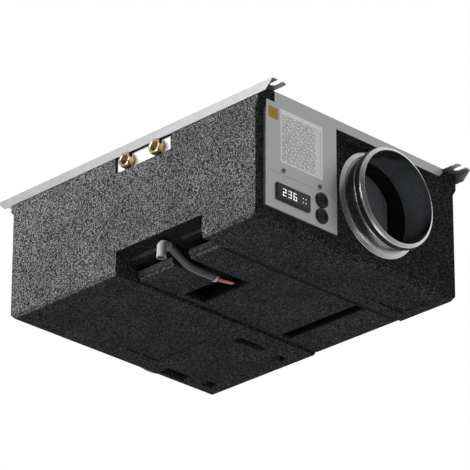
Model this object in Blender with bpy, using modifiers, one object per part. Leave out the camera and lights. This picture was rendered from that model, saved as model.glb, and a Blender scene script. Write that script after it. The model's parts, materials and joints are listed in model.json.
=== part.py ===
"""Ceiling air dryer with round duct spigots.

A flat moulded-foam casing hangs from a folded sheet-metal top plate with four slotted ears.
Inside it hold a water coil, an evaporator, a condenser, a compressor and a centrifugal fan.
+X is right seen from the control panel, +Y runs from the control panel to the far end and +Z is up.
The origin is the centre of the bounding box's bottom face. Sizes are in metres.
"""

import math

import bmesh
import bpy
from mathutils import Matrix, Vector

MM = 0.001

# Overall sizes
CASE_WIDTH = 470 * MM
CASE_DEPTH = 580 * MM
TOTAL_HEIGHT = 230 * MM
SHEET = 1.2 * MM
GAP = 0.3 * MM
ROUND_STEPS = 36
FOAM_WALL = 28 * MM
EDGE_CHAMFER = 8 * MM

# Top plate
LIP_HEIGHT = 17 * MM
RIM_PROUD = 6.5 * MM
RIM_HEIGHT = 34 * MM
EAR_REACH = 40 * MM
EAR_WIDTH = 33 * MM
EAR_SLOT_WIDTH = 10 * MM
EAR_SLOT_LENGTH = 21 * MM
EAR_SLOT_FROM_SIDE = 16 * MM
LIP_END_SLOPE = 17 * MM
FOLD_OVERLAP = 0.2 * MM
FRONT_LIP_START = 36 * MM
FRONT_LIP_END_ROOM = 34 * MM

# Control panel
PANEL_LEFT = 17 * MM
PANEL_RIGHT = 179 * MM
PANEL_BOTTOM = 21 * MM
PANEL_TOP_DROP = 20 * MM
PANEL_SEAM = 86 * MM
BOX_DEPTH = 62 * MM
DISPLAY_LEFT = 38.5 * MM
DISPLAY_WIDTH = 77 * MM
DISPLAY_BOTTOM = 38.5 * MM
DISPLAY_HEIGHT = 30 * MM
DISPLAY_PROUD = 3 * MM
DISPLAY_BODY_DEPTH = 36 * MM
GROMMET_RIGHT = 143.5 * MM
GROMMET_LOWER = 43 * MM
GROMMET_UPPER = 71 * MM
GROMMET_HOLE_RADIUS = 11 * MM
GROMMET_RADIUS = 13.6 * MM
SCREW_LEFT = 56.5 * MM
SCREW_SPACING = 83 * MM
SCREW_HEIGHT = 94 * MM
SCREW_RADIUS = 4 * MM

# Duct spigots
SPIGOT_RADIUS = 80.5 * MM
SPIGOT_WALL = 1.2 * MM
SPIGOT_BEAD = 4.2 * MM
SPIGOT_PROUD = 46 * MM
SPIGOT_INSERT = 14 * MM
SPIGOT_HEIGHT = 113 * MM
SPIGOT_FLANGE_RADIUS = 93 * MM
FLANGE_CLEARANCE = 3 * MM
FRONT_SPIGOT_RIGHT = 285 * MM
BACK_SPIGOT_FROM_RIGHT = 109 * MM
GASKET_GROOVE = 9 * MM
GASKET_FIN = 2.4 * MM

# Chambers in the foam
INNER_WALL = 16 * MM
LEFT_CHAMBER_WIDTH = 144 * MM
LID_THICKNESS = 20 * MM
COIL_FLOOR = 44 * MM
FAN_FLOOR = 26 * MM
COMPRESSOR_FLOOR = 22 * MM
PIPE_FLOOR = 60 * MM
CHAMBER_FRONT = 96 * MM
FAN_CHAMBER_DEPTH = 222 * MM

# Filter and its hatch
HATCH_LEFT = 186 * MM
HATCH_WIDTH = 180 * MM
HATCH_FRONT = 25 * MM
HATCH_DEPTH = 67 * MM
HATCH_THICKNESS = 12 * MM
FILTER_FRONT = 45 * MM
FILTER_DEPTH = 40 * MM
FILTER_WIDTH = 174 * MM
FILTER_TOP_DROP = 32 * MM
FILTER_BAR = 7 * MM
PLEAT_PITCH = 6.4 * MM

# Underside
COVER_FRONT = 121 * MM
COVER_BACK = 323 * MM
COVER_LEFT = 47 * MM
COVER_THICKNESS = 15 * MM
COVER_RECESS = 5 * MM
GROOVE = 2.4 * MM
RECESS_HEIGHT = 41 * MM
RECESS_STEP_LEFT = 33 * MM
HOSE_SPACE_CEILING = 34 * MM
CHANNEL_FRONT = 200 * MM
CHANNEL_BACK = 237 * MM
WELL_LEFT = 142 * MM
WELL_RIGHT = 190 * MM
WELL_BACK = 310 * MM
LONG_SLOT_FROM_RIGHT = 96 * MM
LONG_SLOT_WIDTH = 23 * MM

# Drain
PAN_LEFT = 201 * MM
PAN_END_ROOM = 7 * MM
PAN_FRONT = 133 * MM
PAN_BACK = 311 * MM
PAN_BOTTOM = 23 * MM
PAN_WALL = 2.5 * MM
PAN_FLANGE = 7 * MM
HOSE_RADIUS = 6.8 * MM
NIPPLE_RADIUS = 4.5 * MM
ELBOW_RADIUS = 8.4 * MM
ELBOW_BORE = 5.8 * MM
ELBOW_RIGHT = 13 * MM
ELBOW_BACK = 228 * MM
HOSE_LEVEL = 8.4 * MM
HOSE_BACK = 227.5 * MM
NIPPLE_LEFT = 140 * MM
NIPPLE_RISE = 4 * MM
ELBOW_MOUTH = 4 * MM
ELBOW_DROP = 11.3 * MM

# Water connections
CONNECTION_FRONT = 196 * MM
CONNECTION_BACK = 328 * MM
CONNECTION_HEIGHT = 28 * MM
CONNECTION_DEPTH = 7 * MM
COUPLING_DROP = 31.5 * MM
COUPLING_SPACING = 71 * MM
COUPLING_PROUD = 9.5 * MM
COUPLING_FLATS = 24.5 * MM
COUPLING_BORE = 7.5 * MM
COUPLING_NECK = 9.5 * MM
WATER_PIPE_RADIUS = 6 * MM
PIPE_DROP = 48 * MM

# Coils
COIL_LEFT = 206 * MM
COIL_END_ROOM = 18 * MM
COIL_BOTTOM = 47 * MM
COIL_TOP_DROP = 30 * MM
WATER_COIL_FRONT = 138 * MM
WATER_COIL_DEPTH = 34 * MM
EVAPORATOR_DEPTH = 44 * MM
CONDENSER_DEPTH = 44 * MM
COIL_SPACING = 10 * MM
FIN_PITCH = 14 * MM
FIN_GROOVE = 4 * MM
COIL_PLATE = 2 * MM
COIL_TUBE_RADIUS = 4 * MM

# Fan
FAN_RIGHT = 290 * MM
FAN_FROM_BACK = 144 * MM
WHEEL_RADIUS = 73 * MM
WHEEL_HEADROOM = 22 * MM
WHEEL_BLADES = 26
BLADE_CHORD = 13 * MM
BLADE_THICKNESS = 1.4 * MM
SCROLL_BOTTOM = 62 * MM
SCROLL_HEADROOM = 42.5 * MM
SCROLL_SHEET = 2.5 * MM
TONGUE_CLEARANCE = 10 * MM
SCROLL_GROWTH = 34 * MM
INLET_RADIUS = 58 * MM
MOTOR_RADIUS = 46 * MM
MOTOR_HEIGHT = 28 * MM
SHAFT_RADIUS = 4 * MM
BEARING_CLEARANCE = 0.08 * MM
HUB_RADIUS = 14 * MM

# Compressor
COMPRESSOR_RIGHT = 100 * MM
COMPRESSOR_FROM_BACK = 106 * MM
COMPRESSOR_RADIUS = 54 * MM
DRIER_RADIUS = 10 * MM
DRIER_HEADROOM = 12 * MM
DRIER_RIGHT = 128 * MM
DRIER_LEVEL = 108 * MM
ACCUMULATOR_LIFT = 24 * MM
COMPRESSOR_HEADROOM = 36.5 * MM
FOOT_HEIGHT = 9 * MM
BASE_THICKNESS = 3 * MM
ACCUMULATOR_RADIUS = 19 * MM
ACCUMULATOR_HEADROOM = 30 * MM
ACCUMULATOR_SPACING = 88 * MM
LINE_RADIUS = 4 * MM

# The bounding box reaches from the couplings to the right lip, and its middle is x = 0
LIP_PROUD = GAP + SHEET
X_LEFT = -(CASE_WIDTH + LIP_PROUD - COUPLING_PROUD) / 2
Y_FRONT = -CASE_DEPTH / 2
PLATE_BOTTOM = TOTAL_HEIGHT - SHEET
FOAM_TOP = PLATE_BOTTOM - GAP
LID_BOTTOM = FOAM_TOP - LID_THICKNESS
LIP_BOTTOM = TOTAL_HEIGHT - LIP_HEIGHT
LIP_PLANE = RIM_PROUD + GAP
LEFT_CHAMBER_RIGHT = FOAM_WALL + LEFT_CHAMBER_WIDTH
RIGHT_CHAMBER_LEFT = LEFT_CHAMBER_RIGHT + INNER_WALL
RIGHT_CHAMBER_RIGHT = CASE_WIDTH - FOAM_WALL
CHAMBER_BACK = CASE_DEPTH - FOAM_WALL
CHAMBER_SPLIT = CHAMBER_BACK - FAN_CHAMBER_DEPTH
BACK_SPIGOT_RIGHT = CASE_WIDTH - BACK_SPIGOT_FROM_RIGHT
FRONT_LIP_END = CASE_WIDTH - FRONT_LIP_END_ROOM
PANEL_TOP = TOTAL_HEIGHT - PANEL_TOP_DROP
FILTER_TOP = TOTAL_HEIGHT - FILTER_TOP_DROP
CONNECTION_BOTTOM = LIP_BOTTOM - CONNECTION_HEIGHT
COUPLING_HEIGHT = TOTAL_HEIGHT - COUPLING_DROP
CONNECTION_LEVEL = TOTAL_HEIGHT - PIPE_DROP
COIL_RIGHT = RIGHT_CHAMBER_RIGHT - COIL_END_ROOM
COIL_TOP = TOTAL_HEIGHT - COIL_TOP_DROP
PAN_RIGHT = RIGHT_CHAMBER_RIGHT - PAN_END_ROOM
LONG_SLOT_RIGHT = CASE_WIDTH - LONG_SLOT_FROM_RIGHT
FAN_BACK = CASE_DEPTH - FAN_FROM_BACK
SCROLL_HEIGHT = LID_BOTTOM - SCROLL_HEADROOM - SCROLL_BOTTOM
WHEEL_HEIGHT = SCROLL_HEIGHT - 2 * WHEEL_HEADROOM
COMPRESSOR_BACK = CASE_DEPTH - COMPRESSOR_FROM_BACK
COMPRESSOR_HEIGHT = LID_BOTTOM - COMPRESSOR_FLOOR - COMPRESSOR_HEADROOM
ACCUMULATOR_BACK = COMPRESSOR_BACK - ACCUMULATOR_SPACING
ACCUMULATOR_HEIGHT = COMPRESSOR_HEIGHT - ACCUMULATOR_LIFT - ACCUMULATOR_HEADROOM
DRIER_LENGTH = CONNECTION_LEVEL - DRIER_HEADROOM - DRIER_LEVEL
FILTER_LEFT = HATCH_LEFT + (HATCH_WIDTH - FILTER_WIDTH) / 2
HATCH_RIGHT = HATCH_LEFT + HATCH_WIDTH
HATCH_BACK = HATCH_FRONT + HATCH_DEPTH
COVER_TOP = COVER_RECESS + COVER_THICKNESS
EVAPORATOR_FRONT = WATER_COIL_FRONT + WATER_COIL_DEPTH + COIL_SPACING
CONDENSER_FRONT = EVAPORATOR_FRONT + EVAPORATOR_DEPTH + COIL_SPACING
WHEEL_BOTTOM = SCROLL_BOTTOM + (SCROLL_HEIGHT - WHEEL_HEIGHT) / 2
COUPLING_FRONT = (CONNECTION_FRONT + CONNECTION_BACK - COUPLING_SPACING) / 2
COUPLING_BACK = COUPLING_FRONT + COUPLING_SPACING

# Drawing planes: the outline's two axes and, last, the direction of its thickness
PLANES = {
    "XY": Matrix(((1, 0, 0), (0, 1, 0), (0, 0, 1))),
    "XZ": Matrix(((1, 0, 0), (0, 0, -1), (0, 1, 0))),
    "YZ": Matrix(((0, 0, 1), (1, 0, 0), (0, 1, 0))),
}
AXES = {
    "X": Matrix.Rotation(math.pi / 2, 4, "Y"),
    "Y": Matrix.Rotation(-math.pi / 2, 4, "X"),
    "-Y": Matrix.Rotation(math.pi / 2, 4, "X"),
    "Z": Matrix.Identity(4),
}


def clear_scene():
    """Removes everything that a new file starts with."""
    for item in list(bpy.data.objects):
        bpy.data.objects.remove(item, do_unlink=True)


def new_collection(name):
    """Makes a collection under the scene."""
    collection = bpy.data.collections.new(name)
    bpy.context.scene.collection.children.link(collection)
    return collection


def make_material(name, colour, roughness, metallic=0.0):
    """Makes a Principled material."""
    material = bpy.data.materials.new(name)
    material.use_nodes = True
    shader = material.node_tree.nodes["Principled BSDF"]
    shader.inputs["Base Color"].default_value = (*colour, 1)
    shader.inputs["Roughness"].default_value = roughness
    shader.inputs["Metallic"].default_value = metallic
    return material


def at(right, back, up):
    """Turns distances from the casing's left face, front face and underside into a place."""
    return Vector((X_LEFT + right, Y_FRONT + back, up))


def add_object(name, mesh, matrix, material=None, smooth=False):
    """Links a mesh as a part, or as a shaping tool when it has no material."""
    piece = bpy.data.objects.new(name, mesh)
    piece.matrix_world = matrix
    if smooth:
        mesh.shade_smooth()
        mesh.set_sharp_from_angle(angle=math.radians(35))
    if material is None:
        piece.display_type = "WIRE"
        piece.hide_render = True
        tools.objects.link(piece)
    else:
        mesh.materials.append(material)
        parts.objects.link(piece)
    return piece


def box(name, low, high, material=None):
    """Makes a box between two opposite corners, with its origin at its middle."""
    size = high - low
    mesh = bpy.data.meshes.new(name)
    shape = bmesh.new()
    bmesh.ops.create_cube(shape, size=1, matrix=Matrix.Diagonal((*size, 1)))
    shape.to_mesh(mesh)
    shape.free()
    return add_object(name, mesh, Matrix.Translation((low + high) / 2), material)


def cylinder(name, start, radius, length, axis, material=None, segments=24, tip_radius=None):
    """Makes a cylinder or cone that runs from its start point along an axis."""
    mesh = bpy.data.meshes.new(name)
    shape = bmesh.new()
    end_radius = radius if tip_radius is None else tip_radius
    middle = Matrix.Translation((0, 0, length / 2))
    bmesh.ops.create_cone(shape, cap_ends=True, segments=segments, radius1=radius, radius2=end_radius,
                          depth=length, matrix=middle)
    shape.to_mesh(mesh)
    shape.free()
    return add_object(name, mesh, Matrix.Translation(start) @ AXES[axis], material, smooth=True)


def turned(name, start, profile, axis, material=None, steps=32, closed=True):
    """Turns a profile of (radius, height) points about an axis through the start point."""
    mesh = bpy.data.meshes.new(name)
    points = [(radius, 0, height) for radius, height in profile]
    count = len(points)
    edges = [(index, (index + 1) % count) for index in range(count if closed else count - 1)]
    mesh.from_pydata(points, edges, [])
    piece = add_object(name, mesh, Matrix.Translation(start) @ AXES[axis], material)
    screw = piece.modifiers.new("turn", "SCREW")
    screw.steps = steps
    screw.render_steps = steps
    screw.use_merge_vertices = True
    screw.merge_threshold = 0.00001
    screw.use_smooth_shade = True
    return piece


def curve_to_part(curve_object, material, smooth, one_face_caps=False):
    """Replaces a curve object by a mesh whose caps are welded to its sides."""
    graph = bpy.context.evaluated_depsgraph_get()
    mesh = bpy.data.meshes.new_from_object(curve_object.evaluated_get(graph))
    shape = bmesh.new()
    shape.from_mesh(mesh)
    bmesh.ops.remove_doubles(shape, verts=shape.verts, dist=0.000001)
    if one_face_caps:
        merge_caps(shape)
    bmesh.ops.recalc_face_normals(shape, faces=shape.faces)
    shape.to_mesh(mesh)
    shape.free()
    mesh.materials.clear()
    name = curve_object.name
    matrix = curve_object.matrix_world.copy()
    curve = curve_object.data
    bpy.data.objects.remove(curve_object, do_unlink=True)
    bpy.data.curves.remove(curve)
    mesh.name = name
    return add_object(name, mesh, matrix, material, smooth)


def merge_caps(shape):
    """Turns each filled end of an extruded outline into a single face."""
    half = max(vert.co.z for vert in shape.verts)
    for level in (-half, half):
        cap = [face for face in shape.faces
               if all(abs(vert.co.z - level) < half / 100 for vert in face.verts)]
        bmesh.ops.dissolve_faces(shape, faces=cap, use_verts=False)


def flat_piece(name, outline, plane, level, thickness, material=None, holes=()):
    """Extrudes a flat outline; level is the low side of its thickness across the plane."""
    curve = bpy.data.curves.new(name, "CURVE")
    curve.dimensions = "2D"
    curve.fill_mode = "BOTH"
    curve.extrude = thickness / 2
    for points in (outline, *holes):
        spline = curve.splines.new("POLY")
        spline.points.add(len(points) - 1)
        for point, (first, second) in zip(spline.points, points):
            point.co = (first, second, 0, 1)
        spline.use_cyclic_u = True
    piece = bpy.data.objects.new(name, curve)
    tools.objects.link(piece)
    turn = PLANES[plane]
    normal = Vector((turn[0][2], turn[1][2], turn[2][2]))
    middle = level + thickness / 2
    offset = Vector(abs(value) * middle for value in normal)
    piece.matrix_world = Matrix.Translation(offset) @ turn.to_4x4()
    bpy.context.view_layer.update()
    return curve_to_part(piece, material, smooth=False, one_face_caps=not holes)


def rod(name, path, radius, material=None, sides=2):
    """Sweeps a round section along a path of points and closes both ends."""
    curve = bpy.data.curves.new(name, "CURVE")
    curve.dimensions = "3D"
    curve.bevel_depth = radius
    curve.bevel_resolution = sides
    curve.use_fill_caps = True
    spline = curve.splines.new("POLY")
    spline.points.add(len(path) - 1)
    for point, place in zip(spline.points, path):
        point.co = (*place, 1)
    piece = bpy.data.objects.new(name, curve)
    tools.objects.link(piece)
    bpy.context.view_layer.update()
    return curve_to_part(piece, material, smooth=True)


def rounded_path(corners, radius, steps=4):
    """Replaces each inner corner of a path by an arc of the given bend radius."""
    path = [corners[0]]
    for before, corner, after in zip(corners, corners[1:], corners[2:]):
        inward = (before - corner).normalized()
        outward = (after - corner).normalized()
        half_angle = inward.angle(outward) / 2
        room = min((before - corner).length, (after - corner).length) / 2
        reach = min(radius / math.tan(half_angle), room)
        bend = reach * math.tan(half_angle)
        centre = corner + (inward + outward).normalized() * bend / math.sin(half_angle)
        first = corner + inward * reach - centre
        last = corner + outward * reach - centre
        sweep = first.angle(last)
        for step in range(steps + 1):
            angle = sweep * step / steps
            place = first * math.sin(sweep - angle) + last * math.sin(angle)
            path.append(centre + place / math.sin(sweep))
    path.append(corners[-1])
    return path


def smooth_path(points, steps=4):
    """Draws a Catmull-Rom curve through chosen points."""
    padded = [2 * points[0] - points[1], *points, 2 * points[-1] - points[-2]]
    path = []
    for before, start, end, after in zip(padded, padded[1:], padded[2:], padded[3:]):
        for step in range(steps):
            t = step / steps
            place = 2 * start + (end - before) * t
            place += (2 * before - 5 * start + 4 * end - after) * t ** 2
            place += (3 * start - before - 3 * end + after) * t ** 3
            path.append(place / 2)
    path.append(points[-1])
    return path


def boolean(target, other, operation):
    """Adds a Boolean modifier and makes the other piece a shaping tool."""
    if other.name in parts.objects:
        parts.objects.unlink(other)
        tools.objects.link(other)
    other.display_type = "WIRE"
    other.hide_render = True
    modifier = target.modifiers.new(other.name, "BOOLEAN")
    modifier.operation = operation
    modifier.solver = "EXACT"
    modifier.object = other
    return target


def cut(target, *others):
    """Takes tools away from a piece."""
    for other in others:
        boolean(target, other, "DIFFERENCE")
    return target


def join(target, *others):
    """Fuses pieces into one solid."""
    for other in others:
        boolean(target, other, "UNION")
    return target


def round_edges(piece, width, segments=2, angle=40):
    """Rounds the edges of a piece that are sharper than an angle."""
    modifier = piece.modifiers.new("rounded_edges", "BEVEL")
    modifier.width = width
    modifier.segments = segments
    modifier.limit_method = "ANGLE"
    modifier.angle_limit = math.radians(angle)
    return piece


def circle_points(right, up, radius, count=32):
    """Points of a circle drawn as part of a flat outline."""
    angles = [2 * math.pi * index / count for index in range(count)]
    return [(right + radius * math.cos(a), up + radius * math.sin(a)) for a in angles]


def rectangle_points(left, low, right, high):
    """Corners of a rectangle drawn as part of a flat outline."""
    return [(left, low), (right, low), (right, high), (left, high)]


clear_scene()
parts = new_collection("ceiling_air_dryer")
tools = new_collection("shaping_tools")

FOAM = make_material("moulded_foam", (0.035, 0.037, 0.040), 0.9)
DARK_FOAM = make_material("dark_foam", (0.022, 0.023, 0.025), 0.9)
GALVANISED = make_material("galvanised_sheet", (0.62, 0.63, 0.64), 0.38, 1.0)
WHITE_SHEET = make_material("pale_plate", (0.86, 0.86, 0.84), 0.45, 0.2)
BRASS = make_material("brass", (0.82, 0.60, 0.26), 0.25, 1.0)
COPPER = make_material("copper", (0.85, 0.42, 0.24), 0.3, 1.0)
ALUMINIUM = make_material("aluminium_fins", (0.55, 0.57, 0.60), 0.4, 1.0)
RUBBER = make_material("black_rubber", (0.012, 0.012, 0.012), 0.7)
BLACK_PLASTIC = make_material("black_plastic", (0.02, 0.02, 0.022), 0.35)
GREY_PLASTIC = make_material("grey_plastic", (0.42, 0.43, 0.44), 0.5)
HOSE_GREY = make_material("hose_grey", (0.30, 0.31, 0.32), 0.55)
WINDOW = make_material("display_window", (0.01, 0.01, 0.012), 0.12)
STEEL = make_material("zinc_steel", (0.55, 0.55, 0.56), 0.35, 1.0)
BLACK_PAINT = make_material("black_paint", (0.02, 0.02, 0.022), 0.4)
BOARD_GREEN = make_material("board_green", (0.03, 0.16, 0.07), 0.5)
MEDIA = make_material("filter_media", (0.42, 0.45, 0.50), 0.85)


def casing_side_outline():
    """Side outline of the foam casing, with the rim that stands out at the front and back."""
    front = Y_FRONT
    back = Y_FRONT + CASE_DEPTH
    rim_low = FOAM_TOP - RIM_HEIGHT
    return [
        (front + EDGE_CHAMFER, 0), (back - EDGE_CHAMFER, 0), (back, EDGE_CHAMFER), (back, rim_low),
        (back + RIM_PROUD, rim_low + RIM_PROUD), (back + RIM_PROUD, FOAM_TOP),
        (front - RIM_PROUD, FOAM_TOP), (front - RIM_PROUD, rim_low + RIM_PROUD),
        (front, rim_low), (front, EDGE_CHAMFER),
    ]


def side_chamfer(name, right, direction):
    """A wedge that takes the chamfer off one long bottom edge."""
    x = X_LEFT + right
    corner = [(x - direction * MM, -MM), (x + direction * EDGE_CHAMFER / 2, -MM),
              (x - direction * MM, EDGE_CHAMFER)]
    return flat_piece(name, corner, "XZ", Y_FRONT - CASE_DEPTH, 3 * CASE_DEPTH)


def casing_chambers():
    """Hollows of the casing that hold the coils, the fan, the compressor and the pipes."""
    over = FOAM_TOP + MM
    lid_edge = FOAM_WALL / 2
    return [
        box("lid_pocket", at(lid_edge, BOX_DEPTH + lid_edge, LID_BOTTOM),
            at(CASE_WIDTH - lid_edge, CASE_DEPTH - lid_edge, over)),
        box("pipe_chamber", at(FOAM_WALL, CHAMBER_FRONT, PIPE_FLOOR),
            at(LEFT_CHAMBER_RIGHT, CHAMBER_SPLIT + MM, over)),
        box("compressor_chamber", at(FOAM_WALL, CHAMBER_SPLIT, COMPRESSOR_FLOOR),
            at(LEFT_CHAMBER_RIGHT, CHAMBER_BACK, over)),
        box("coil_chamber", at(RIGHT_CHAMBER_LEFT, CHAMBER_FRONT, COIL_FLOOR),
            at(RIGHT_CHAMBER_RIGHT, CHAMBER_SPLIT + MM, over)),
        box("fan_chamber", at(RIGHT_CHAMBER_LEFT, CHAMBER_SPLIT, FAN_FLOOR),
            at(RIGHT_CHAMBER_RIGHT, CHAMBER_BACK, over)),
    ]


def pipe_notches():
    """Notches in the top of the inner wall where pipes cross to the coils."""
    notches = []
    for index, back in enumerate(pipe_crossings()):
        half = WATER_PIPE_RADIUS + MM
        low_corner = at(LEFT_CHAMBER_RIGHT - MM, back - half, CONNECTION_LEVEL - half)
        high_corner = at(RIGHT_CHAMBER_LEFT + MM, back + half, FOAM_TOP + MM)
        notches.append(box(f"pipe_notch_{index}", low_corner, high_corner))
    return notches


def pipe_crossings():
    """Places where pipes cross the inner wall: distance back."""
    return [
        WATER_COIL_FRONT + WATER_COIL_DEPTH / 4,
        WATER_COIL_FRONT + WATER_COIL_DEPTH * 3 / 4,
        EVAPORATOR_FRONT + EVAPORATOR_DEPTH / 2,
        CONDENSER_FRONT + CONDENSER_DEPTH / 4,
        CONDENSER_FRONT + CONDENSER_DEPTH * 3 / 4,
    ]


def underside_cuts():
    """Recesses, slots and the drain corner under the casing."""
    below = -MM
    cuts = [
        box("cover_recess", at(RECESS_STEP_LEFT, COVER_FRONT, below),
            at(CASE_WIDTH + MM, COVER_BACK, COVER_TOP + GAP)),
        box("drain_recess", at(-MM, COVER_FRONT, below),
            at(RECESS_STEP_LEFT + MM, COVER_BACK, RECESS_HEIGHT)),
        box("hose_relief", at(RECESS_STEP_LEFT, CHANNEL_FRONT, COVER_RECESS),
            at(WELL_LEFT / 2, CHANNEL_BACK, RECESS_HEIGHT - GAP)),
        box("hose_space", at(RECESS_STEP_LEFT, COVER_FRONT, COVER_RECESS),
            at(PAN_LEFT, COVER_BACK, HOSE_SPACE_CEILING)),
        box("pan_opening", at(PAN_LEFT - MM, PAN_FRONT - MM, COVER_RECESS),
            at(PAN_RIGHT + MM, PAN_BACK + MM, COIL_FLOOR + MM)),
        box("hatch_pocket", at(HATCH_LEFT - GAP, HATCH_FRONT - GAP, below),
            at(HATCH_RIGHT + GAP, HATCH_BACK + GAP, HATCH_THICKNESS + GAP)),
        box("filter_slot", at(FILTER_LEFT - GAP, FILTER_FRONT - GAP, below),
            at(FILTER_LEFT + FILTER_WIDTH + GAP, FILTER_FRONT + FILTER_DEPTH + GAP, FILTER_TOP + GAP)),
        box("filter_window", at(FILTER_LEFT + FILTER_BAR, FILTER_FRONT + FILTER_DEPTH - MM, COIL_FLOOR),
            at(FILTER_LEFT + FILTER_WIDTH - FILTER_BAR, CHAMBER_FRONT + MM, FILTER_TOP - FILTER_BAR)),
        box("label_recess", at(CASE_WIDTH - 249 * MM, CASE_DEPTH - 171 * MM, below),
            at(CASE_WIDTH - 173 * MM, CASE_DEPTH - 46 * MM, 3 * MM)),
        box("front_recess", at(CASE_WIDTH - 88 * MM, 30 * MM, below),
            at(CASE_WIDTH - 24 * MM, 99 * MM, 4 * MM)),
    ]
    pockets = [(143, 220, 63, 17), (140, 40, 57, 24), (47, 214, 24, 17), (51, 48, 24, 21)]
    for index, (from_right, from_back, width, depth) in enumerate(pockets):
        low = at(CASE_WIDTH - from_right * MM, CASE_DEPTH - from_back * MM, below)
        cuts.append(box(f"pocket_{index}", low, low + Vector((width * MM, depth * MM, 13 * MM))))
    pins = [(212, CASE_DEPTH - 34 * MM), (211, CASE_DEPTH - 180 * MM), (53, 12 * MM), (52, 106 * MM)]
    for index, (from_right, back) in enumerate(pins):
        cuts.append(cylinder(f"pin_mark_{index}", at(CASE_WIDTH - from_right * MM, back, below),
                             2.6 * MM, 7 * MM, "Z", segments=12))
    return cuts


def corner_notches(name):
    """Finger notches at the four corners of the filter hatch."""
    notches = []
    for right in (HATCH_LEFT, HATCH_RIGHT):
        for back in (HATCH_FRONT, HATCH_BACK):
            low = at(right - 6 * MM, back - 2 * MM, -MM)
            notches.append(box(f"{name}_{len(notches)}", low,
                               at(right + 6 * MM, back + 2 * MM, 6 * MM)))
    return notches


def build_casing():
    """Moulded foam casing with all its chambers and openings."""
    casing = flat_piece("casing", casing_side_outline(), "YZ", X_LEFT, CASE_WIDTH, FOAM)
    cut(casing, side_chamfer("left_chamfer", 0, 1), side_chamfer("right_chamfer", CASE_WIDTH, -1))
    cut(casing, *casing_chambers(), *pipe_notches(), *underside_cuts(), *corner_notches("case_notch"))
    control = box("control_recess", at(PANEL_LEFT - GAP, -2 * RIM_PROUD, PANEL_BOTTOM - GAP),
                  at(PANEL_RIGHT + GAP, BOX_DEPTH, PANEL_TOP + GAP))
    connection = box("connection_recess", at(-MM, CONNECTION_FRONT, CONNECTION_BOTTOM),
                     at(CONNECTION_DEPTH, CONNECTION_BACK, LIP_BOTTOM + SHEET))
    hole = SPIGOT_RADIUS + SPIGOT_WALL + GAP
    front_hole = cylinder("front_duct_hole", at(FRONT_SPIGOT_RIGHT, -2 * RIM_PROUD, SPIGOT_HEIGHT),
                          hole, FILTER_FRONT + 2 * RIM_PROUD, "Y", segments=ROUND_STEPS)
    back_hole = cylinder("back_duct_hole", at(BACK_SPIGOT_RIGHT, CHAMBER_BACK - MM, SPIGOT_HEIGHT),
                         hole, FOAM_WALL + 2 * RIM_PROUD, "Y", segments=ROUND_STEPS)
    cut(casing, control, connection, front_hole, back_hole)
    clear = SPIGOT_FLANGE_RADIUS + FLANGE_CLEARANCE
    reach = 2 * RIM_PROUD
    front_seat = cylinder("front_flange_seat", at(FRONT_SPIGOT_RIGHT, -reach, SPIGOT_HEIGHT), clear,
                          reach + GAP / 2, "Y", segments=ROUND_STEPS)
    back_seat = cylinder("back_flange_seat", at(BACK_SPIGOT_RIGHT, CASE_DEPTH - GAP / 2, SPIGOT_HEIGHT),
                         clear, reach, "Y", segments=ROUND_STEPS)
    cut(casing, front_seat, back_seat)
    for back in (COUPLING_FRONT, COUPLING_BACK):
        start = at(-MM, back, COUPLING_HEIGHT)
        cut(casing, cylinder(f"coupling_hole_{back:.3f}", start, COUPLING_NECK + GAP,
                             FOAM_WALL + 2 * MM, "X", segments=24))
    return casing


def build_casing_lid():
    """Foam slab that closes the chambers under the top plate."""
    edge = FOAM_WALL / 2 + GAP
    low = at(edge, BOX_DEPTH + edge, LID_BOTTOM + GAP)
    return box("casing_lid", low, at(CASE_WIDTH - edge, CASE_DEPTH - edge, FOAM_TOP), DARK_FOAM)


def ear_outline():
    """Outline of the top plate with its four slotted ears, drawn from above."""
    left = X_LEFT - LIP_PROUD + FOLD_OVERLAP
    front = Y_FRONT - LIP_PLANE - SHEET + FOLD_OVERLAP
    tip = Y_FRONT - EAR_REACH
    slot_low = X_LEFT + EAR_SLOT_FROM_SIDE - EAR_SLOT_WIDTH / 2
    slot_high = slot_low + EAR_SLOT_WIDTH
    slot_end = tip + EAR_SLOT_LENGTH
    inner = X_LEFT + EAR_WIDTH
    nose = 4 * MM
    radius = EAR_SLOT_WIDTH / 2
    slot_arc = []
    for step in range(7):
        angle = math.pi * step / 6
        slot_arc.append((slot_low + radius - radius * math.cos(angle),
                         slot_end - radius + radius * math.sin(angle)))
    ear = [(left, front), (left, tip + nose), (left + nose, tip), (slot_low, tip), *slot_arc,
           (slot_high, tip), (inner - nose, tip), (inner, tip + nose), (inner, front)]
    middle = X_LEFT + CASE_WIDTH / 2
    mirrored = [(2 * middle - x, y) for x, y in reversed(ear)]
    front_half = ear + mirrored
    centre_line = Y_FRONT + CASE_DEPTH / 2
    back_half = [(x, 2 * centre_line - y) for x, y in reversed(front_half)]
    return front_half + back_half


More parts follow.
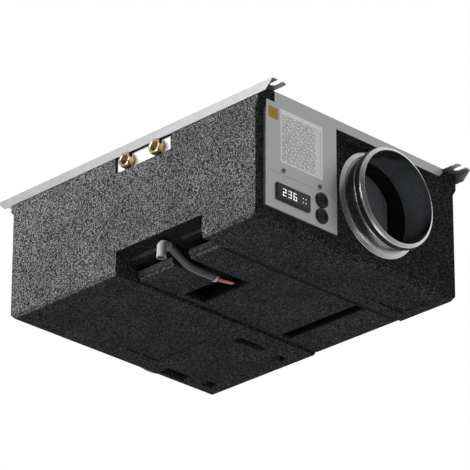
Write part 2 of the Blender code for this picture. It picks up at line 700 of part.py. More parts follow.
def build_top_plate():
    """Folded sheet: plate with ears, side lips with slanted ends, end lips and the upper control panel."""
    plate = flat_piece("top_plate", ear_outline(), "XY", PLATE_BOTTOM, SHEET, GALVANISED)
    top_end = EAR_REACH
    low_end = EAR_REACH - LIP_END_SLOPE
    front = Y_FRONT
    back = Y_FRONT + CASE_DEPTH
    side = [(front - low_end, LIP_BOTTOM), (back + low_end, LIP_BOTTOM),
            (back + top_end, TOTAL_HEIGHT - SHEET / 2), (front - top_end, TOTAL_HEIGHT - SHEET / 2)]
    left_lip = flat_piece("left_lip", side, "YZ", X_LEFT - LIP_PROUD, SHEET)
    right_lip = flat_piece("right_lip", side, "YZ", X_LEFT + CASE_WIDTH + GAP, SHEET)
    x = X_LEFT
    high = TOTAL_HEIGHT - SHEET / 2
    corner = 9 * MM
    panel = [
        (x + FRONT_LIP_START, high), (x + FRONT_LIP_START, PANEL_TOP), (x + PANEL_LEFT, PANEL_TOP),
        (x + PANEL_LEFT, PANEL_SEAM + GAP), (x + PANEL_RIGHT, PANEL_SEAM + GAP),
        (x + PANEL_RIGHT, LIP_BOTTOM),
        (x + FRONT_LIP_END - corner, LIP_BOTTOM), (x + FRONT_LIP_END, LIP_BOTTOM + corner),
        (x + FRONT_LIP_END, high),
    ]
    front_sheet = flat_piece("front_sheet", panel, "XZ", Y_FRONT - LIP_PLANE - SHEET, SHEET)
    back_outline = [
        (x + FRONT_LIP_START, high), (x + FRONT_LIP_START, LIP_BOTTOM + corner),
        (x + FRONT_LIP_START + corner, LIP_BOTTOM),
        (x + FRONT_LIP_END - corner, LIP_BOTTOM), (x + FRONT_LIP_END, LIP_BOTTOM + corner),
        (x + FRONT_LIP_END, high),
    ]
    back_sheet = flat_piece("back_sheet", back_outline, "XZ", Y_FRONT + CASE_DEPTH + LIP_PLANE, SHEET)
    return join(plate, left_lip, right_lip, front_sheet, back_sheet)


def build_electrical_box():
    """Open sheet tray behind the control panel, with the parts wired inside it."""
    shell = box("electrical_box", at(PANEL_LEFT, -RIM_PROUD, PANEL_BOTTOM),
                at(PANEL_RIGHT, BOX_DEPTH - GAP, PANEL_TOP), STEEL)
    inside = box("box_inside", at(PANEL_LEFT + SHEET, -2 * RIM_PROUD, PANEL_BOTTOM + SHEET),
                 at(PANEL_RIGHT - SHEET, BOX_DEPTH - GAP - SHEET, PANEL_TOP - SHEET))
    cut(shell, inside)
    back = BOX_DEPTH - GAP - SHEET - GAP
    board_back = back - 4 * MM
    board = box("circuit_board", at(28 * MM, board_back - 1.6 * MM, 96 * MM),
                at(122 * MM, board_back, 196 * MM), BOARD_GREEN)
    relays = [(36, 104, 52, 122), (58, 104, 74, 122), (36, 160, 62, 188), (92, 150, 112, 180)]
    for index, (left, low, right, high) in enumerate(relays):
        join(board, box(f"relay_{index}", at(left * MM, board_back - 16 * MM, low * MM),
                        at(right * MM, board_back - MM, high * MM)))
    for index, (right, up) in enumerate([(32, 100), (118, 100), (32, 192), (118, 192)]):
        join(board, cylinder(f"standoff_{index}", at(right * MM, board_back - 0.5 * MM, up * MM),
                             2.5 * MM, 4.5 * MM, "Y", segments=8))
    transformer = box("transformer", at(132 * MM, back - 38 * MM, 150 * MM),
                      at(170 * MM, back, 190 * MM), STEEL)
    join(transformer, box("winding", at(137 * MM, back - 44 * MM, 155 * MM),
                          at(165 * MM, back - 4 * MM, 185 * MM)))
    capacitor = cylinder("run_capacitor", at(150 * MM, back - 52 * MM, 112 * MM), 16 * MM, 52 * MM, "Y",
                         GREY_PLASTIC, 24)
    join(capacitor, cylinder("capacitor_stud", at(150 * MM, back - 57 * MM, 112 * MM), 4 * MM, 8 * MM,
                             "Y", segments=8))
    strip = box("terminal_block", at(126 * MM, back - 22 * MM, 84 * MM), at(174 * MM, back, 94 * MM),
                GREY_PLASTIC)
    for index in range(6):
        left = 128 * MM + index * 8 * MM
        cut(strip, box(f"terminal_{index}", at(left, back - 24 * MM, 86.5 * MM),
                       at(left + 4.5 * MM, back - 14 * MM, 91.5 * MM)))
    return shell


def build_service_cover():
    """Lower control panel with cut-outs for the display, the grommets and the screws."""
    x = X_LEFT
    outline = rectangle_points(x + PANEL_LEFT, PANEL_BOTTOM, x + PANEL_RIGHT, PANEL_SEAM)
    inset = 3 * MM
    display = rectangle_points(x + DISPLAY_LEFT + inset, DISPLAY_BOTTOM + inset,
                               x + DISPLAY_LEFT + DISPLAY_WIDTH - inset,
                               DISPLAY_BOTTOM + DISPLAY_HEIGHT - inset)
    holes = [display]
    for up in (GROMMET_LOWER, GROMMET_UPPER):
        holes.append(circle_points(x + GROMMET_RIGHT, up, GROMMET_HOLE_RADIUS))
    cover = flat_piece("service_cover", outline, "XZ", Y_FRONT - LIP_PLANE - SHEET, SHEET, GALVANISED,
                       holes)
    return cover


def build_display():
    """Controller with a bezel, a body through the panel and a dark window."""
    sheet_front = -LIP_PLANE - SHEET
    right = DISPLAY_LEFT + DISPLAY_WIDTH
    top = DISPLAY_BOTTOM + DISPLAY_HEIGHT
    inset = 3 * MM + GAP
    bezel = box("display_housing", at(DISPLAY_LEFT, sheet_front - DISPLAY_PROUD, DISPLAY_BOTTOM),
                at(right, sheet_front - GAP, top), BLACK_PLASTIC)
    round_edges(bezel, 1.2 * MM)
    body = box("display_body", at(DISPLAY_LEFT + inset, sheet_front - MM, DISPLAY_BOTTOM + inset),
               at(right - inset, DISPLAY_BODY_DEPTH, top - inset))
    join(bezel, body)
    frame = 3.5 * MM
    depth = 1.6 * MM
    window_low = at(DISPLAY_LEFT + frame + 4 * MM, sheet_front - DISPLAY_PROUD - MM,
                    DISPLAY_BOTTOM + frame + 2 * MM)
    window_high = at(right - frame, sheet_front - DISPLAY_PROUD + depth, top - frame)
    cut(bezel, box("window_recess", window_low, window_high))
    pane_low = window_low + Vector((GAP, MM + 0.4 * MM, GAP))
    pane_high = window_high - Vector((GAP, GAP, GAP))
    box("display_window", pane_low, pane_high, WINDOW)


def build_grommets():
    """Rubber cable grommets, each gripping the sheet in its groove."""
    face = -LIP_PLANE - SHEET
    for name, up in (("cable_grommet_lower", GROMMET_LOWER), ("cable_grommet_upper", GROMMET_UPPER)):
        waist = GROMMET_HOLE_RADIUS - GAP
        profile = [
            (0, MM), (4 * MM, MM), (5 * MM, 3.4 * MM), (GROMMET_RADIUS - 2 * MM, 3.4 * MM),
            (GROMMET_RADIUS, 2 * MM),
            (GROMMET_RADIUS, GAP), (waist, GAP), (waist, -SHEET - GAP),
            (GROMMET_RADIUS - 0.6 * MM, -SHEET - GAP),
            (GROMMET_RADIUS - 1.4 * MM, -SHEET - 3 * MM), (4 * MM, -SHEET - 3 * MM), (4 * MM, -MM),
            (0, -MM),
        ]
        turned(name, at(GROMMET_RIGHT, face, up), profile, "-Y", RUBBER, steps=16, closed=False)


def build_cover_screws():
    """Pan-head screws that hold the upper control panel to the electrical box."""
    face = -LIP_PLANE - SHEET
    for index, name in enumerate(("panel_screw_left", "panel_screw_right")):
        start = at(SCREW_LEFT + index * SCREW_SPACING, face - GAP, SCREW_HEIGHT)
        profile = [(0, 2.4 * MM), (SCREW_RADIUS * 0.6, 2.2 * MM), (SCREW_RADIUS, 1.1 * MM),
                   (SCREW_RADIUS, 0), (0, 0)]
        screw = turned(name, start, profile, "-Y", STEEL, steps=12, closed=False)
        slot = box(f"{name}_slot", start + Vector((-SCREW_RADIUS, -3 * MM, -0.5 * MM)),
                   start + Vector((SCREW_RADIUS, -1.5 * MM, 0.5 * MM)))
        cut(screw, slot)


def build_spigot(name, right, face, axis):
    """Turned duct spigot with a base flange, a gasket groove and a rolled mouth."""
    inner = SPIGOT_RADIUS
    outer = SPIGOT_RADIUS + SPIGOT_WALL
    groove_low = SPIGOT_PROUD - 8 * MM - GASKET_GROOVE
    groove_high = groove_low + GASKET_GROOVE
    bead = SPIGOT_BEAD
    sleeve = outer + bead - 1.4 * MM
    flange_thick = 2 * MM
    profile = [
        (inner + MM, SPIGOT_PROUD), (outer + bead, SPIGOT_PROUD - 0.8 * MM),
        (outer + bead + MM, SPIGOT_PROUD - 3 * MM),
        (outer + bead, SPIGOT_PROUD - 5.4 * MM), (sleeve, SPIGOT_PROUD - 6.4 * MM),
        (outer + bead, groove_high),
        (outer, groove_high), (outer, groove_low), (outer + bead, groove_low),
        (outer + bead, groove_low - 2 * MM),
        (sleeve, groove_low - 4.5 * MM), (sleeve, flange_thick + 2.5 * MM),
        (sleeve + MM, flange_thick + GAP),
        (SPIGOT_FLANGE_RADIUS, flange_thick + GAP), (SPIGOT_FLANGE_RADIUS, GAP), (outer, GAP),
        (outer, -SPIGOT_INSERT),
        (inner, -SPIGOT_INSERT), (inner, SPIGOT_PROUD - 1.5 * MM),
    ]
    turned(name, at(right, face, SPIGOT_HEIGHT), profile, axis, GALVANISED, steps=ROUND_STEPS)
    seat = outer + GAP
    low = groove_low + GAP
    high = groove_high - GAP
    third = (high - low) / 3
    gasket = [
        (seat, high), (seat + 2 * MM, high), (outer + bead + GASKET_FIN, high - third),
        (seat + 2 * MM, high - third * 1.5),
        (outer + bead + GASKET_FIN * 0.8, low + third * 0.5), (seat + 2 * MM, low), (seat, low),
    ]
    turned(f"{name}_gasket", at(right, face, SPIGOT_HEIGHT), gasket, axis, RUBBER, steps=ROUND_STEPS)


def build_filter():
    """Pleated filter in its frame, carried on the hatch that closes its slot."""
    right = FILTER_LEFT + FILTER_WIDTH
    back = FILTER_FRONT + FILTER_DEPTH
    hatch = box("filter_hatch", at(HATCH_LEFT, HATCH_FRONT, 0),
                at(HATCH_RIGHT, HATCH_BACK, HATCH_THICKNESS), FOAM)
    cut(hatch, *corner_notches("hatch_notch"))
    floor = HATCH_THICKNESS + GAP
    frame = box("filter_frame", at(FILTER_LEFT, FILTER_FRONT, floor), at(right, back, FILTER_TOP),
                BLACK_PLASTIC)
    opening = box("frame_opening",
                  at(FILTER_LEFT + FILTER_BAR, FILTER_FRONT - MM, floor + FILTER_BAR + 14 * MM),
                  at(right - FILTER_BAR, back + MM, FILTER_TOP - FILTER_BAR))
    cut(frame, opening)
    left_end = FILTER_LEFT + FILTER_BAR + GAP
    right_end = right - FILTER_BAR - GAP
    count = int((right_end - left_end) / PLEAT_PITCH)
    pitch = (right_end - left_end) / count
    front = FILTER_FRONT + MM
    depth = FILTER_DEPTH - 2 * MM
    thick = 1.6 * MM
    outline = []
    for index in range(2 * count + 1):
        edge = front if index % 2 else front + depth - thick
        outline.append((X_LEFT + left_end + index * pitch / 2, Y_FRONT + edge))
    back_line = [(x, y + thick) for x, y in reversed(outline)]
    low = floor + FILTER_BAR + 14 * MM + GAP
    flat_piece("filter_media", outline + back_line, "XY", low, FILTER_TOP - FILTER_BAR - GAP - low,
               MEDIA)
    return hatch


def build_middle_cover():
    """Removable foam cover under the drain pan, with the hose channel and the well."""
    outline = [
        (X_LEFT + COVER_LEFT, COVER_TOP), (X_LEFT + COVER_LEFT, COVER_TOP - 8 * MM),
        (X_LEFT + COVER_LEFT + 6 * MM, COVER_RECESS), (X_LEFT + CASE_WIDTH, COVER_RECESS),
        (X_LEFT + CASE_WIDTH, COVER_TOP),
    ]
    low = Y_FRONT + COVER_FRONT + GROOVE
    cover = flat_piece("middle_cover", outline, "XZ", low, COVER_BACK - COVER_FRONT - 2 * GROOVE, FOAM)
    channel = box("hose_channel", at(COVER_LEFT - MM, CHANNEL_FRONT, 0),
                  at(WELL_LEFT + MM, CHANNEL_BACK, COVER_TOP + MM))
    well = box("hose_well", at(WELL_LEFT, CHANNEL_FRONT, 0), at(WELL_RIGHT, WELL_BACK, COVER_TOP + MM))
    slot = box("long_slot", at(LONG_SLOT_RIGHT, COVER_FRONT + 7 * MM, 0),
               at(LONG_SLOT_RIGHT + LONG_SLOT_WIDTH, COVER_BACK - 9 * MM, COVER_TOP + MM))
    return cut(cover, channel, well, slot)


def build_drain():
    """Drain pan, copper nipple, hose with its clip and the outlet elbow."""
    pan = box("drain_pan", at(PAN_LEFT - GAP, PAN_FRONT, PAN_BOTTOM),
              at(PAN_RIGHT, PAN_BACK, COIL_FLOOR + MM), BLACK_PLASTIC)
    flange_low = at(PAN_LEFT - PAN_FLANGE, PAN_FRONT - PAN_FLANGE, COIL_FLOOR + GAP)
    flange_high = at(PAN_RIGHT + PAN_FLANGE, PAN_BACK + PAN_FLANGE, COIL_FLOOR + GAP + PAN_WALL)
    join(pan, box("pan_flange", flange_low, flange_high))
    cut(pan, box("pan_inside", at(PAN_LEFT + PAN_WALL, PAN_FRONT + PAN_WALL, PAN_BOTTOM + PAN_WALL),
                 at(PAN_RIGHT - PAN_WALL, PAN_BACK - PAN_WALL, COIL_FLOOR + 10 * MM)))
    nipple_level = PAN_BOTTOM + NIPPLE_RADIUS + MM
    corners = [at(NIPPLE_LEFT, HOSE_BACK, HOSE_LEVEL), at(NIPPLE_LEFT + 8 * MM, HOSE_BACK, HOSE_LEVEL),
               at(176 * MM, HOSE_BACK, HOSE_LEVEL + NIPPLE_RISE),
               at(183 * MM, HOSE_BACK, nipple_level), at(PAN_LEFT - 2 * GAP, HOSE_BACK, nipple_level)]
    rod("drain_nipple", rounded_path(corners, 9 * MM), NIPPLE_RADIUS, COPPER)
    elbow_end = ELBOW_RIGHT + 17 * MM
    elbow_level = RECESS_HEIGHT - GAP - ELBOW_DROP
    bend = [at(ELBOW_RIGHT, ELBOW_BACK, ELBOW_MOUTH), at(ELBOW_RIGHT, ELBOW_BACK, elbow_level),
            at(elbow_end, ELBOW_BACK, elbow_level)]
    elbow = rod("drain_elbow", rounded_path(bend, 11 * MM), ELBOW_RADIUS, HOSE_GREY)
    join(elbow, box("elbow_pad", at(ELBOW_RIGHT, ELBOW_BACK - 6 * MM, elbow_level + 4 * MM),
                    at(elbow_end - 3 * MM, ELBOW_BACK + 6 * MM, RECESS_HEIGHT - GAP)))
    cut(elbow, cylinder("elbow_bore", at(ELBOW_RIGHT, ELBOW_BACK, 2 * MM), ELBOW_BORE, 20 * MM, "Z",
                        segments=16))
    route = [
        at(elbow_end + 4 * MM, ELBOW_BACK, elbow_level), at(42 * MM, 228.2 * MM, 25.6 * MM),
        at(52 * MM, 228.4 * MM, 20.4 * MM), at(62 * MM, 228.4 * MM, 14.9 * MM),
        at(73 * MM, 228.2 * MM, 10.8 * MM), at(88 * MM, 227.9 * MM, 8.5 * MM),
        at(104 * MM, 227.6 * MM, 8 * MM), at(118 * MM, HOSE_BACK, 8.1 * MM),
        at(130 * MM, HOSE_BACK, HOSE_LEVEL),
    ]
    first = at(elbow_end + GAP, ELBOW_BACK, elbow_level)
    last = at(NIPPLE_LEFT - GAP, HOSE_BACK, HOSE_LEVEL)
    rod("drain_hose", [first, *smooth_path(route, 3), last], HOSE_RADIUS, HOSE_GREY)
    inner = HOSE_RADIUS + GAP
    band = [(inner, 5 * MM), (inner + MM, 5 * MM), (inner + MM, 0), (inner, 0)]
    turned("hose_clip", at(NIPPLE_LEFT - 9 * MM, HOSE_BACK, HOSE_LEVEL), band, "X", STEEL, steps=20)


def build_water_connections():
    """Pale plate in the side recess, two brass hexagon couplings and their copper pipes."""
    plate_low = at(CONNECTION_DEPTH - GAP - 1.5 * MM, CONNECTION_FRONT + MM, CONNECTION_BOTTOM + MM)
    plate = box("connection_plate", plate_low,
                at(CONNECTION_DEPTH - GAP, CONNECTION_BACK - MM, LIP_BOTTOM), WHITE_SHEET)
    names = (("front", COUPLING_FRONT, 48 * MM, 0.25), ("back", COUPLING_BACK, 72 * MM, 0.75))
    for side, back, turn_right, share in names:
        centre = at(-COUPLING_PROUD, back, COUPLING_HEIGHT)
        neck_start = at(-COUPLING_PROUD + MM, back, COUPLING_HEIGHT)
        cut(plate, cylinder(f"plate_hole_{side}", at(0, back, COUPLING_HEIGHT), COUPLING_NECK + GAP,
                            3 * CONNECTION_DEPTH, "X"))
        hexagon = cylinder(f"water_coupling_{side}", centre, COUPLING_FLATS / math.sqrt(3),
                           COUPLING_PROUD + 4 * MM, "X", BRASS, 6)
        neck = cylinder(f"coupling_neck_{side}", neck_start, COUPLING_NECK,
                        COUPLING_PROUD + FOAM_WALL - 2 * MM, "X")
        join(hexagon, neck)
        cut(hexagon, cylinder(f"coupling_bore_{side}", at(-COUPLING_PROUD - MM, back, COUPLING_HEIGHT),
                              COUPLING_BORE, COUPLING_PROUD + 16 * MM, "X"))
        reach = WATER_COIL_FRONT + WATER_COIL_DEPTH * share
        start_right = FOAM_WALL - MM + GAP
        corners = [at(start_right, back, COUPLING_HEIGHT), at(turn_right, back, COUPLING_HEIGHT),
                   at(turn_right, reach, CONNECTION_LEVEL),
                   at(COIL_LEFT - GAP, reach, CONNECTION_LEVEL)]
        rod(f"water_pipe_{side}", rounded_path(corners, 14 * MM), WATER_PIPE_RADIUS, COPPER)


def build_coil(name, front, depth, rows):
    """Finned coil: a ribbed fin block between two end plates, with return bends at both ends."""
    left = COIL_LEFT + COIL_PLATE
    right = COIL_RIGHT - COIL_PLATE
    count = int((right - left) / FIN_PITCH)
    pitch = (right - left) / count
    near = Y_FRONT + front
    far = near + depth
    near_line = []
    for index in range(count):
        x = X_LEFT + left + index * pitch
        near_line += [(x, near), (x + pitch / 2, near), (x + pitch / 2, near + FIN_GROOVE),
                      (x + pitch, near + FIN_GROOVE)]
    middle = (near + far) / 2
    far_line = [(x, 2 * middle - y) for x, y in reversed(near_line)]
    margin = MM
    height = COIL_TOP - COIL_BOTTOM - 2 * margin
    block = flat_piece(name, near_line + far_line, "XY", COIL_BOTTOM + margin, height, ALUMINIUM)
    overlap = COIL_PLATE / 4
    for index, start in enumerate((COIL_LEFT, COIL_RIGHT - COIL_PLATE - overlap)):
        low = at(start, front - margin, COIL_BOTTOM)
        high = at(start + COIL_PLATE + overlap, front + depth + margin, COIL_TOP)
        join(block, box(f"{name}_plate_{index}", low, high))
    bend_reach = 9 * MM
    spacing = (COIL_TOP - COIL_BOTTOM) / (2 * rows)
    for index in range(rows):
        up = COIL_BOTTOM + spacing * (2 * index + 0.5)
        for side, start, sign in (("left", COIL_LEFT + MM, -1), ("right", COIL_RIGHT - MM, 1)):
            shift = 0 if side == "left" else spacing
            if index == rows - 1:
                continue
            middle_back = front + depth / 2
            corners = [at(start, middle_back, up + shift),
                       at(start + sign * bend_reach, middle_back, up + shift),
                       at(start + sign * bend_reach, middle_back, up + shift + spacing),
                       at(start, middle_back, up + shift + spacing)]
            join(block, rod(f"{name}_bend_{side}_{index}", rounded_path(corners, 6 * MM, 2),
                            COIL_TUBE_RADIUS, sides=1))
    return block


def scroll_radius(angle):
    """Radius of the spiral wall, growing evenly with the angle from the tongue."""
    start = WHEEL_RADIUS + TONGUE_CLEARANCE
    return start + SCROLL_GROWTH * angle / (2 * math.pi)


def scroll_outline(inset):
    """Spiral outline from above that runs out into the straight outlet towards the back wall."""
    tongue = math.radians(62)
    steps = 40
    turn = 2 * math.pi - tongue
    centre = at(FAN_RIGHT, FAN_BACK, 0)
    outline = []
    for step in range(steps + 1):
        angle = turn * step / steps
        radius = scroll_radius(angle + tongue) - inset
        bearing = tongue + angle
        outline.append((centre.x + radius * math.cos(bearing), centre.y + radius * math.sin(bearing)))
    end = Y_FRONT + CHAMBER_BACK - GAP
    if inset:
        end += MM
    outline.append((outline[-1][0], end))
    outline.append((outline[0][0] + 2 * inset, end))
    outline.append((outline[0][0] + 2 * inset, outline[0][1]))
    return outline


def build_fan():
    """Centrifugal fan: scroll on four feet, motor on top, shaft and bladed wheel."""
    top = SCROLL_BOTTOM + SCROLL_HEIGHT
    scroll = flat_piece("fan_scroll", scroll_outline(0), "XY", SCROLL_BOTTOM, SCROLL_HEIGHT,
                        BLACK_PLASTIC)
    inner = flat_piece("scroll_inside", scroll_outline(SCROLL_SHEET), "XY",
                       SCROLL_BOTTOM + SCROLL_SHEET, SCROLL_HEIGHT - 2 * SCROLL_SHEET)
    cut(scroll, inner)
    cut(scroll, cylinder("scroll_inlet", at(FAN_RIGHT, FAN_BACK, SCROLL_BOTTOM - MM), INLET_RADIUS,
                         SCROLL_SHEET + 2 * MM, "Z", segments=ROUND_STEPS))
    cut(scroll, cylinder("scroll_shaft_hole", at(FAN_RIGHT, FAN_BACK, top - SCROLL_SHEET - MM),
                         3 * SHAFT_RADIUS, SCROLL_SHEET + 2 * MM, "Z"))
    for index, (right, back) in enumerate([(-62, -62), (62, -62), (-62, 62), (62, 62)]):
        start = at(FAN_RIGHT + right * MM, FAN_BACK + back * MM, FAN_FLOOR + GAP)
        join(scroll, cylinder(f"scroll_foot_{index}", start, 6 * MM, SCROLL_BOTTOM - FAN_FLOOR, "Z",
                              segments=12))
    bore = SHAFT_RADIUS + BEARING_CLEARANCE
    motor_profile = [
        (0, MOTOR_HEIGHT), (MOTOR_RADIUS * 0.7, MOTOR_HEIGHT), (MOTOR_RADIUS, MOTOR_HEIGHT * 0.75),
        (MOTOR_RADIUS, 3 * MM),
        (MOTOR_RADIUS + 8 * MM, 3 * MM), (MOTOR_RADIUS + 8 * MM, GAP), (bore, GAP),
        (bore, MOTOR_HEIGHT * 0.7), (0, MOTOR_HEIGHT * 0.7),
    ]
    turned("fan_motor", at(FAN_RIGHT, FAN_BACK, top), motor_profile, "Z", BLACK_PAINT, steps=32,
           closed=False)
    shaft_top = top + MOTOR_HEIGHT * 0.7 - GAP
    shaft_start = WHEEL_BOTTOM + WHEEL_HEIGHT - 26 * MM
    cylinder("fan_shaft", at(FAN_RIGHT, FAN_BACK, shaft_start), SHAFT_RADIUS, shaft_top - shaft_start,
             "Z", STEEL, 32)
    build_fan_wheel()
    return scroll


def build_fan_wheel():
    """Forward-curved wheel: back plate with a hub, curved blades and a bottom ring."""
    hub_inner = SHAFT_RADIUS + GAP
    plate_low = WHEEL_HEIGHT - 2.5 * MM
    profile = [
        (hub_inner, WHEEL_HEIGHT + 5 * MM), (HUB_RADIUS, WHEEL_HEIGHT + 5 * MM),
        (HUB_RADIUS + 4 * MM, WHEEL_HEIGHT),
        (WHEEL_RADIUS, WHEEL_HEIGHT), (WHEEL_RADIUS, plate_low), (HUB_RADIUS, plate_low),
        (HUB_RADIUS, plate_low - 18 * MM), (hub_inner, plate_low - 18 * MM),
    ]
    centre = at(FAN_RIGHT, FAN_BACK, WHEEL_BOTTOM)
    wheel = turned("fan_wheel", centre, profile, "Z", BLACK_PLASTIC, steps=ROUND_STEPS)
    ring = [(WHEEL_RADIUS - BLADE_CHORD, 2.5 * MM), (WHEEL_RADIUS, 2.5 * MM), (WHEEL_RADIUS, 0),
            (WHEEL_RADIUS - BLADE_CHORD, 0)]
    blades = blade_ring()
    join(blades, turned("wheel_ring", centre, ring, "Z", steps=ROUND_STEPS))
    join(wheel, blades)


def blade_ring():
    """All blades of the wheel as separate shells of one mesh, each a slice of an arc."""
    mesh = bpy.data.meshes.new("wheel_blades")
    shape = bmesh.new()
    inner_radius = WHEEL_RADIUS - BLADE_CHORD + 0.6 * MM
    outer_radius = WHEEL_RADIUS - 0.6 * MM
    low = MM
    high = WHEEL_HEIGHT - MM
    steps = 2
    for index in range(WHEEL_BLADES):
        start = 2 * math.pi * index / WHEEL_BLADES
        faces = []
        for side in (-0.5, 0.5):
            line = []
            for step in range(steps + 1):
                t = step / steps
                radius = inner_radius + (outer_radius - inner_radius) * t
                bearing = start + 0.16 * t * t + side * BLADE_THICKNESS / radius
                line.append((radius * math.cos(bearing), radius * math.sin(bearing)))
            faces.append(line)
        outline = faces[0] + list(reversed(faces[1]))
        bottom = [shape.verts.new((x, y, low)) for x, y in outline]
        floor = shape.faces.new(bottom)
        raised = bmesh.ops.extrude_face_region(shape, geom=[floor])
        moved = [item for item in raised["geom"] if isinstance(item, bmesh.types.BMVert)]
        bmesh.ops.translate(shape, verts=moved, vec=(0, 0, high - low))
    bmesh.ops.recalc_face_normals(shape, faces=shape.faces)
    shape.to_mesh(mesh)
    shape.free()
    return add_object("wheel_blades", mesh, Matrix.Translation(at(FAN_RIGHT, FAN_BACK, WHEEL_BOTTOM)),
                      None, smooth=False)


def build_compressor():
    """Hermetic compressor on a steel base with rubber feet, with its suction accumulator."""
    floor = COMPRESSOR_FLOOR + GAP
    base_bottom = floor + FOOT_HEIGHT + GAP
    spread = COMPRESSOR_RADIUS + 2 * MM
    base_centre = at(COMPRESSOR_RIGHT, COMPRESSOR_BACK, 0)
    feet = [(-0.72, -0.86), (0.72, -0.86), (0, 1.02)]
    outline = []
    for side, forward in feet:
        x = base_centre.x + side * spread
        y = base_centre.y + forward * spread
        bearing = math.atan2(forward, side)
        for step in range(-3, 4):
            angle = bearing + step * math.radians(22)
            outline.append((x + 9 * MM * math.cos(angle), y + 9 * MM * math.sin(angle)))
    base = flat_piece("compressor_base", outline, "XY", base_bottom, BASE_THICKNESS, BLACK_PAINT)
    for index, (side, forward) in enumerate(feet):
        place = Vector((base_centre.x + side * spread, base_centre.y + forward * spread, floor))
        waist = 3.5 * MM
        height = FOOT_HEIGHT + 2 * GAP + BASE_THICKNESS
        profile = [
            (0, height + 3 * MM), (5.5 * MM, height + 3 * MM), (6.5 * MM, height), (waist, height),
            (waist, FOOT_HEIGHT),
            (8 * MM, FOOT_HEIGHT), (8 * MM, 0), (0, 0),
        ]
        turned(f"compressor_foot_{index + 1}", place, profile, "Z", RUBBER, steps=12, closed=False)
        cut(base, cylinder(f"foot_hole_{index}", place, waist + GAP, 4 * FOOT_HEIGHT, "Z", segments=16))
    body_bottom = base_bottom + BASE_THICKNESS + GAP
    radius = COMPRESSOR_RADIUS
    top = COMPRESSOR_HEIGHT
    dome = 14 * MM
    profile = [(0, top)]
    for step in range(1, 5):
        angle = math.pi / 2 * step / 4
        profile.append((radius * 0.4 + (radius - 2 * MM - radius * 0.4) * math.sin(angle),
                        top - dome + dome * math.cos(angle)))
    profile += [(radius - 2 * MM, top * 0.72), (radius, top * 0.7), (radius, top * 0.2),
                (radius - 3 * MM, top * 0.18),
                (radius - 8 * MM, 4 * MM), (radius - 18 * MM, 0), (0, 0)]
    body = turned("compressor", at(COMPRESSOR_RIGHT, COMPRESSOR_BACK, body_bottom), profile, "Z",
                  BLACK_PAINT, steps=24, closed=False)
    cover_low = at(COMPRESSOR_RIGHT - 16 * MM, COMPRESSOR_BACK - 16 * MM, body_bottom + top + GAP)
    terminal = box("terminal_cover", cover_low, cover_low + Vector((32 * MM, 32 * MM, 12 * MM)),
                   BLACK_PLASTIC)
    round_edges(terminal, 3 * MM)
    build_accumulator(body_bottom)
    return body


def build_accumulator(body_bottom):
    """Suction accumulator beside the compressor, with its strap and elbow."""
    low = body_bottom + ACCUMULATOR_LIFT
    radius = ACCUMULATOR_RADIUS
    height = ACCUMULATOR_HEIGHT
    profile = [
        (0, height), (radius * 0.35, height), (radius * 0.8, height - 7 * MM),
        (radius, height - 14 * MM),
        (radius, 14 * MM), (radius * 0.8, 7 * MM), (radius * 0.35, 0), (0, 0),
    ]
    turned("accumulator", at(COMPRESSOR_RIGHT, ACCUMULATOR_BACK, low), profile, "Z", BLACK_PAINT,
           steps=24, closed=False)
    strap_low = low + height / 2 - 5 * MM
    strap = cylinder("accumulator_strap", at(COMPRESSOR_RIGHT, ACCUMULATOR_BACK, strap_low),
                     radius + GAP + 2 * MM, 10 * MM, "Z", STEEL, 24)
    tab_end = COMPRESSOR_BACK - COMPRESSOR_RADIUS - GAP
    join(strap, box("strap_tab",
        at(COMPRESSOR_RIGHT - 6 * MM, ACCUMULATOR_BACK + radius, strap_low + MM),
        at(COMPRESSOR_RIGHT + 6 * MM, tab_end, strap_low + 9 * MM)))
    cut(strap, cylinder("strap_bore", at(COMPRESSOR_RIGHT, ACCUMULATOR_BACK, strap_low - MM),
                        radius + GAP, 12 * MM, "Z"))


